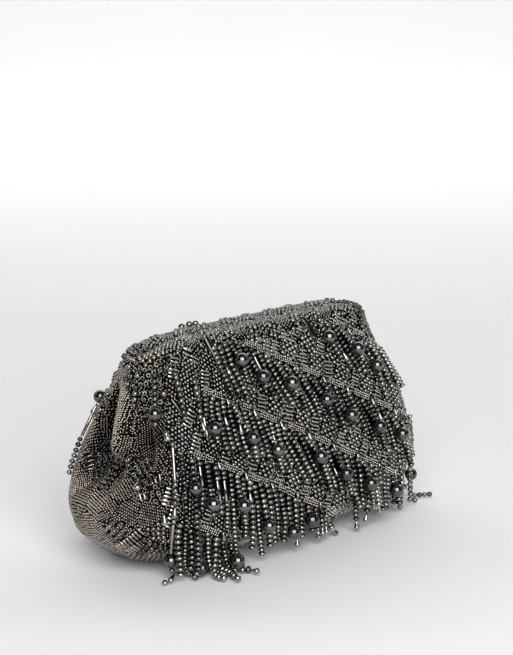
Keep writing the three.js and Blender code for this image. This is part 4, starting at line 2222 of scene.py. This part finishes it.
    def string(self) -> None:
        """Puts the settled beads on their trays."""
        for strand, lie in zip(self.strands, self.settle()):
            base = self.base_tones.draw(self.chance)
            for index, bead in enumerate(strand.beads):
                place = lie[index + 1]
                ahead = lie[min(index + 2, len(lie) - 1)] - lie[index]
                along = unit(ahead)
                side = np.cross(along, strand.root.normal)
                sloping = np.linalg.norm(side) > self.least_side
                out = np.cross(side, along) if sloping else UP - along * along[2]
                middle = self.bright_tone if bead.shape in (Shape.TUBE, Shape.DROP) else base
                tone = float(np.clip(self.chance.normal(middle, self.tone_spread), 0, 1))
                tray = self.trays.setdefault(bead.shape, Tray())
                tray.add(place, along, out, (bead.length, bead.width, bead.width), tone)


class Softbox(NamedTuple):
    """Soft light in metres: its place to the right, towards the camera and up, its aim, size and watts."""

    name: str
    right: float
    toward: float
    up: float
    aim_toward: float
    aim_up: float
    width: float
    height: float
    power: float


SOFTBOXES = (
    Softbox("overhead", 0.0, -0.25, 1.6, 0.0, 0.06, 2.4, 2.2, 1.5),
    Softbox("left", -1.6, -0.2, 0.76, 0.0, 0.06, 1.6, 1.2, 2.6),
    Softbox("right", 1.6, -0.2, 0.76, 0.0, 0.06, 1.6, 1.2, 1.2),
    Softbox("key", 0.18, 1.25, 0.81, 0.0, 0.06, 1.4, 1.2, 25.5),
    Softbox("backdrop", 0.0, -2.42, 2.0, -2.55, 0.0, 6.0, 2.6, 114.0),
)


@dataclass
class Studio:
    """Pale floor, soft light and the camera. Lengths in metres."""

    azimuth: float = -40.0
    elevation: float = 17.5
    distance: float = 1.023
    focal_pixels: float = 1586.0
    aim_pixel: tuple[float, float] = (248.0, 443.5)
    aim_height: float = 0.0558
    image: tuple[int, int] = (513, 655)
    sensor: float = 36.0
    floor_front: float = 6.0
    floor_back: float = 3.0
    sweep_radius: float = 2.0
    wall_height: float = 4.0
    floor_width: float = 12.0
    sweep_steps: int = 13
    paper_dark: tuple[float, float, float] = (0.86, 0.86, 0.865)
    paper_bright: tuple[float, float, float] = (0.88, 0.88, 0.885)
    paper_grain: float = 3.0
    paper_roughness: float = 0.9
    surroundings: float = 0.02

    @property
    def right(self) -> np.ndarray:
        """Level direction to the right of the picture."""
        turn = math.radians(self.azimuth)
        return np.array([math.cos(turn), math.sin(turn), 0.0])

    @property
    def toward(self) -> np.ndarray:
        """Level direction from the object to the camera."""
        return np.cross(self.right, UP)

    @staticmethod
    def aim(thing: bpy.types.Object, place: np.ndarray, target: np.ndarray) -> None:
        """Puts a camera or a light at a place, pointing at a target.

        Args:
            thing: The camera or light.
            place: Where it stands.
            target: Where it points.
        """
        thing.location = place
        thing.rotation_euler = Vector(target - place).to_track_quat("-Z", "Y").to_euler()
        bpy.context.scene.collection.objects.link(thing)

    def camera(self) -> None:
        """Makes the camera and sets it for the scene."""
        lift = math.radians(self.elevation)
        back = self.toward * math.cos(lift) + UP * math.sin(lift)
        above = np.cross(back, self.right)
        scale = self.distance / self.focal_pixels
        shift = (self.image[0] / 2 - self.aim_pixel[0]) * scale
        rise = (self.aim_pixel[1] - self.image[1] / 2) * scale
        reference = UP * self.aim_height
        data = bpy.data.cameras.new("camera")
        data.sensor_width = self.sensor
        data.lens = self.focal_pixels * self.sensor / max(self.image)
        camera = bpy.data.objects.new("camera", data)
        target = reference + self.right * shift + above * rise
        self.aim(camera, reference + back * self.distance, target)
        bpy.context.scene.camera = camera

    def floor(self) -> None:
        """Makes the floor that sweeps up into a backdrop behind the object."""
        profile = [(-self.floor_front, 0.0), (self.floor_back, 0.0)]
        for turn in np.linspace(0, math.pi / 2, self.sweep_steps)[1:]:
            reach = self.floor_back + self.sweep_radius * math.sin(turn)
            profile.append((reach, self.sweep_radius * (1 - math.cos(turn))))
        profile.append((profile[-1][0], self.wall_height))
        edge = self.right * self.floor_width / 2
        rows = [[edge * side - self.toward * reach + UP * z for side in (-1, 1)] for reach, z in profile]
        points = np.array(rows).reshape(-1, 3) / MM
        mesh = mesh_of("floor", points, quads_of(len(profile), 2))
        sheet, shader, material = blank_material("white_paper", {"Roughness": self.paper_roughness})
        places = sheet.add("ShaderNodeTexCoord")
        grain = sheet.add("ShaderNodeTexNoise", {"Scale": self.paper_grain})
        sheet.join(places, "Object", grain, "Vector")
        colour = sheet.mix(grain, "Fac", self.paper_dark, self.paper_bright)
        sheet.join(colour, MIXED, shader, "Base Color")
        mesh.materials.append(material)
        object_of(mesh)

    def lights(self) -> None:
        """Adds the soft lights and the dim surroundings."""
        for box in SOFTBOXES:
            data = bpy.data.lights.new(box.name, "AREA")
            data.shape = "RECTANGLE"
            data.size = box.width
            data.size_y = box.height
            data.energy = box.power
            place = self.right * box.right + self.toward * box.toward + UP * box.up
            target = self.toward * box.aim_toward + UP * box.aim_up
            self.aim(bpy.data.objects.new(box.name, data), place, target)
        world = bpy.data.worlds.new("surroundings")
        world.use_nodes = True
        background = world.node_tree.nodes["Background"]
        background.inputs["Color"].default_value = (1.0, 1.0, 1.0, 1.0)
        background.inputs["Strength"].default_value = self.surroundings
        bpy.context.scene.world = world
        bpy.context.scene.view_settings.view_transform = "Standard"


def make_cloth(pouch: Pouch) -> None:
    """Makes the cloth pieces and finishes the frame of the mouth.

    Args:
        pouch: The pouch.
    """
    satin = SATIN.material(weave_group())
    for face in (Face.FRONT, Face.BACK, Face.NEAR, Face.FAR):
        hand_in(pouch.cloth_piece(face, satin), (face.node,))
    hand_in(pouch.base_piece(satin), ("base_panel",))
    mouth_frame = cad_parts["mouth_frame"]
    mouth_frame.data.materials.clear()
    mouth_frame.data.materials.append(STEEL.material())


def make_paving(paving: Paving, works: BeadWorks) -> None:
    """Sews the small beads on and makes their pieces.

    Args:
        paving: The paving.
        works: Maker of bead pieces.
    """
    paving.singles()
    for face in Face:
        if face.is_panel:
            paving.pave_panel(face)
        else:
            paving.pave_gusset(face)
    for (face, shape), tray in paving.trays.items():
        finish = (PANEL_FINISH if face.is_panel else GUSSET_FINISH).get(shape, GUNMETAL)
        piece = works.piece(f"paving_{shape.value}s_{face.word}", shape, tray, finish)
        hand_in(piece)


def make_fringe(fringe: Fringe, works: BeadWorks) -> None:
    """Hangs the strands of one face and makes their pieces.

    Args:
        fringe: The fringe of the face.
        works: Maker of bead pieces.
    """
    fringe.plan()
    fringe.string()
    word = fringe.face.word
    nodes = [f"{word}_fringe_{i}" for i in range(1, 5)] + [f"{word}_hem_fringe"]
    for shape, tray in fringe.trays.items():
        finish = STRAND_FINISH.get(shape, GUNMETAL)
        piece = works.piece(f"strand_{shape.value}s_{word}", shape, tray, finish)
        hand_in(piece, nodes if shape is Shape.ROUND else ())


def main() -> None:
    """Builds the clutch and its studio, piece by piece."""
    logging.basicConfig(level=logging.INFO, format="%(message)s")
    studio = Studio()
    studio.camera()
    studio.floor()
    studio.lights()

    pouch = Pouch()
    make_cloth(pouch)
    works = BeadWorks()
    paving = Paving(pouch, pouch.surface(), BandPlan())
    make_paving(paving, works)
    for face in (Face.FRONT, Face.BACK):
        make_fringe(Fringe(face, paving), works)
    works.put_away()


if __name__ == "__main__":
    main()
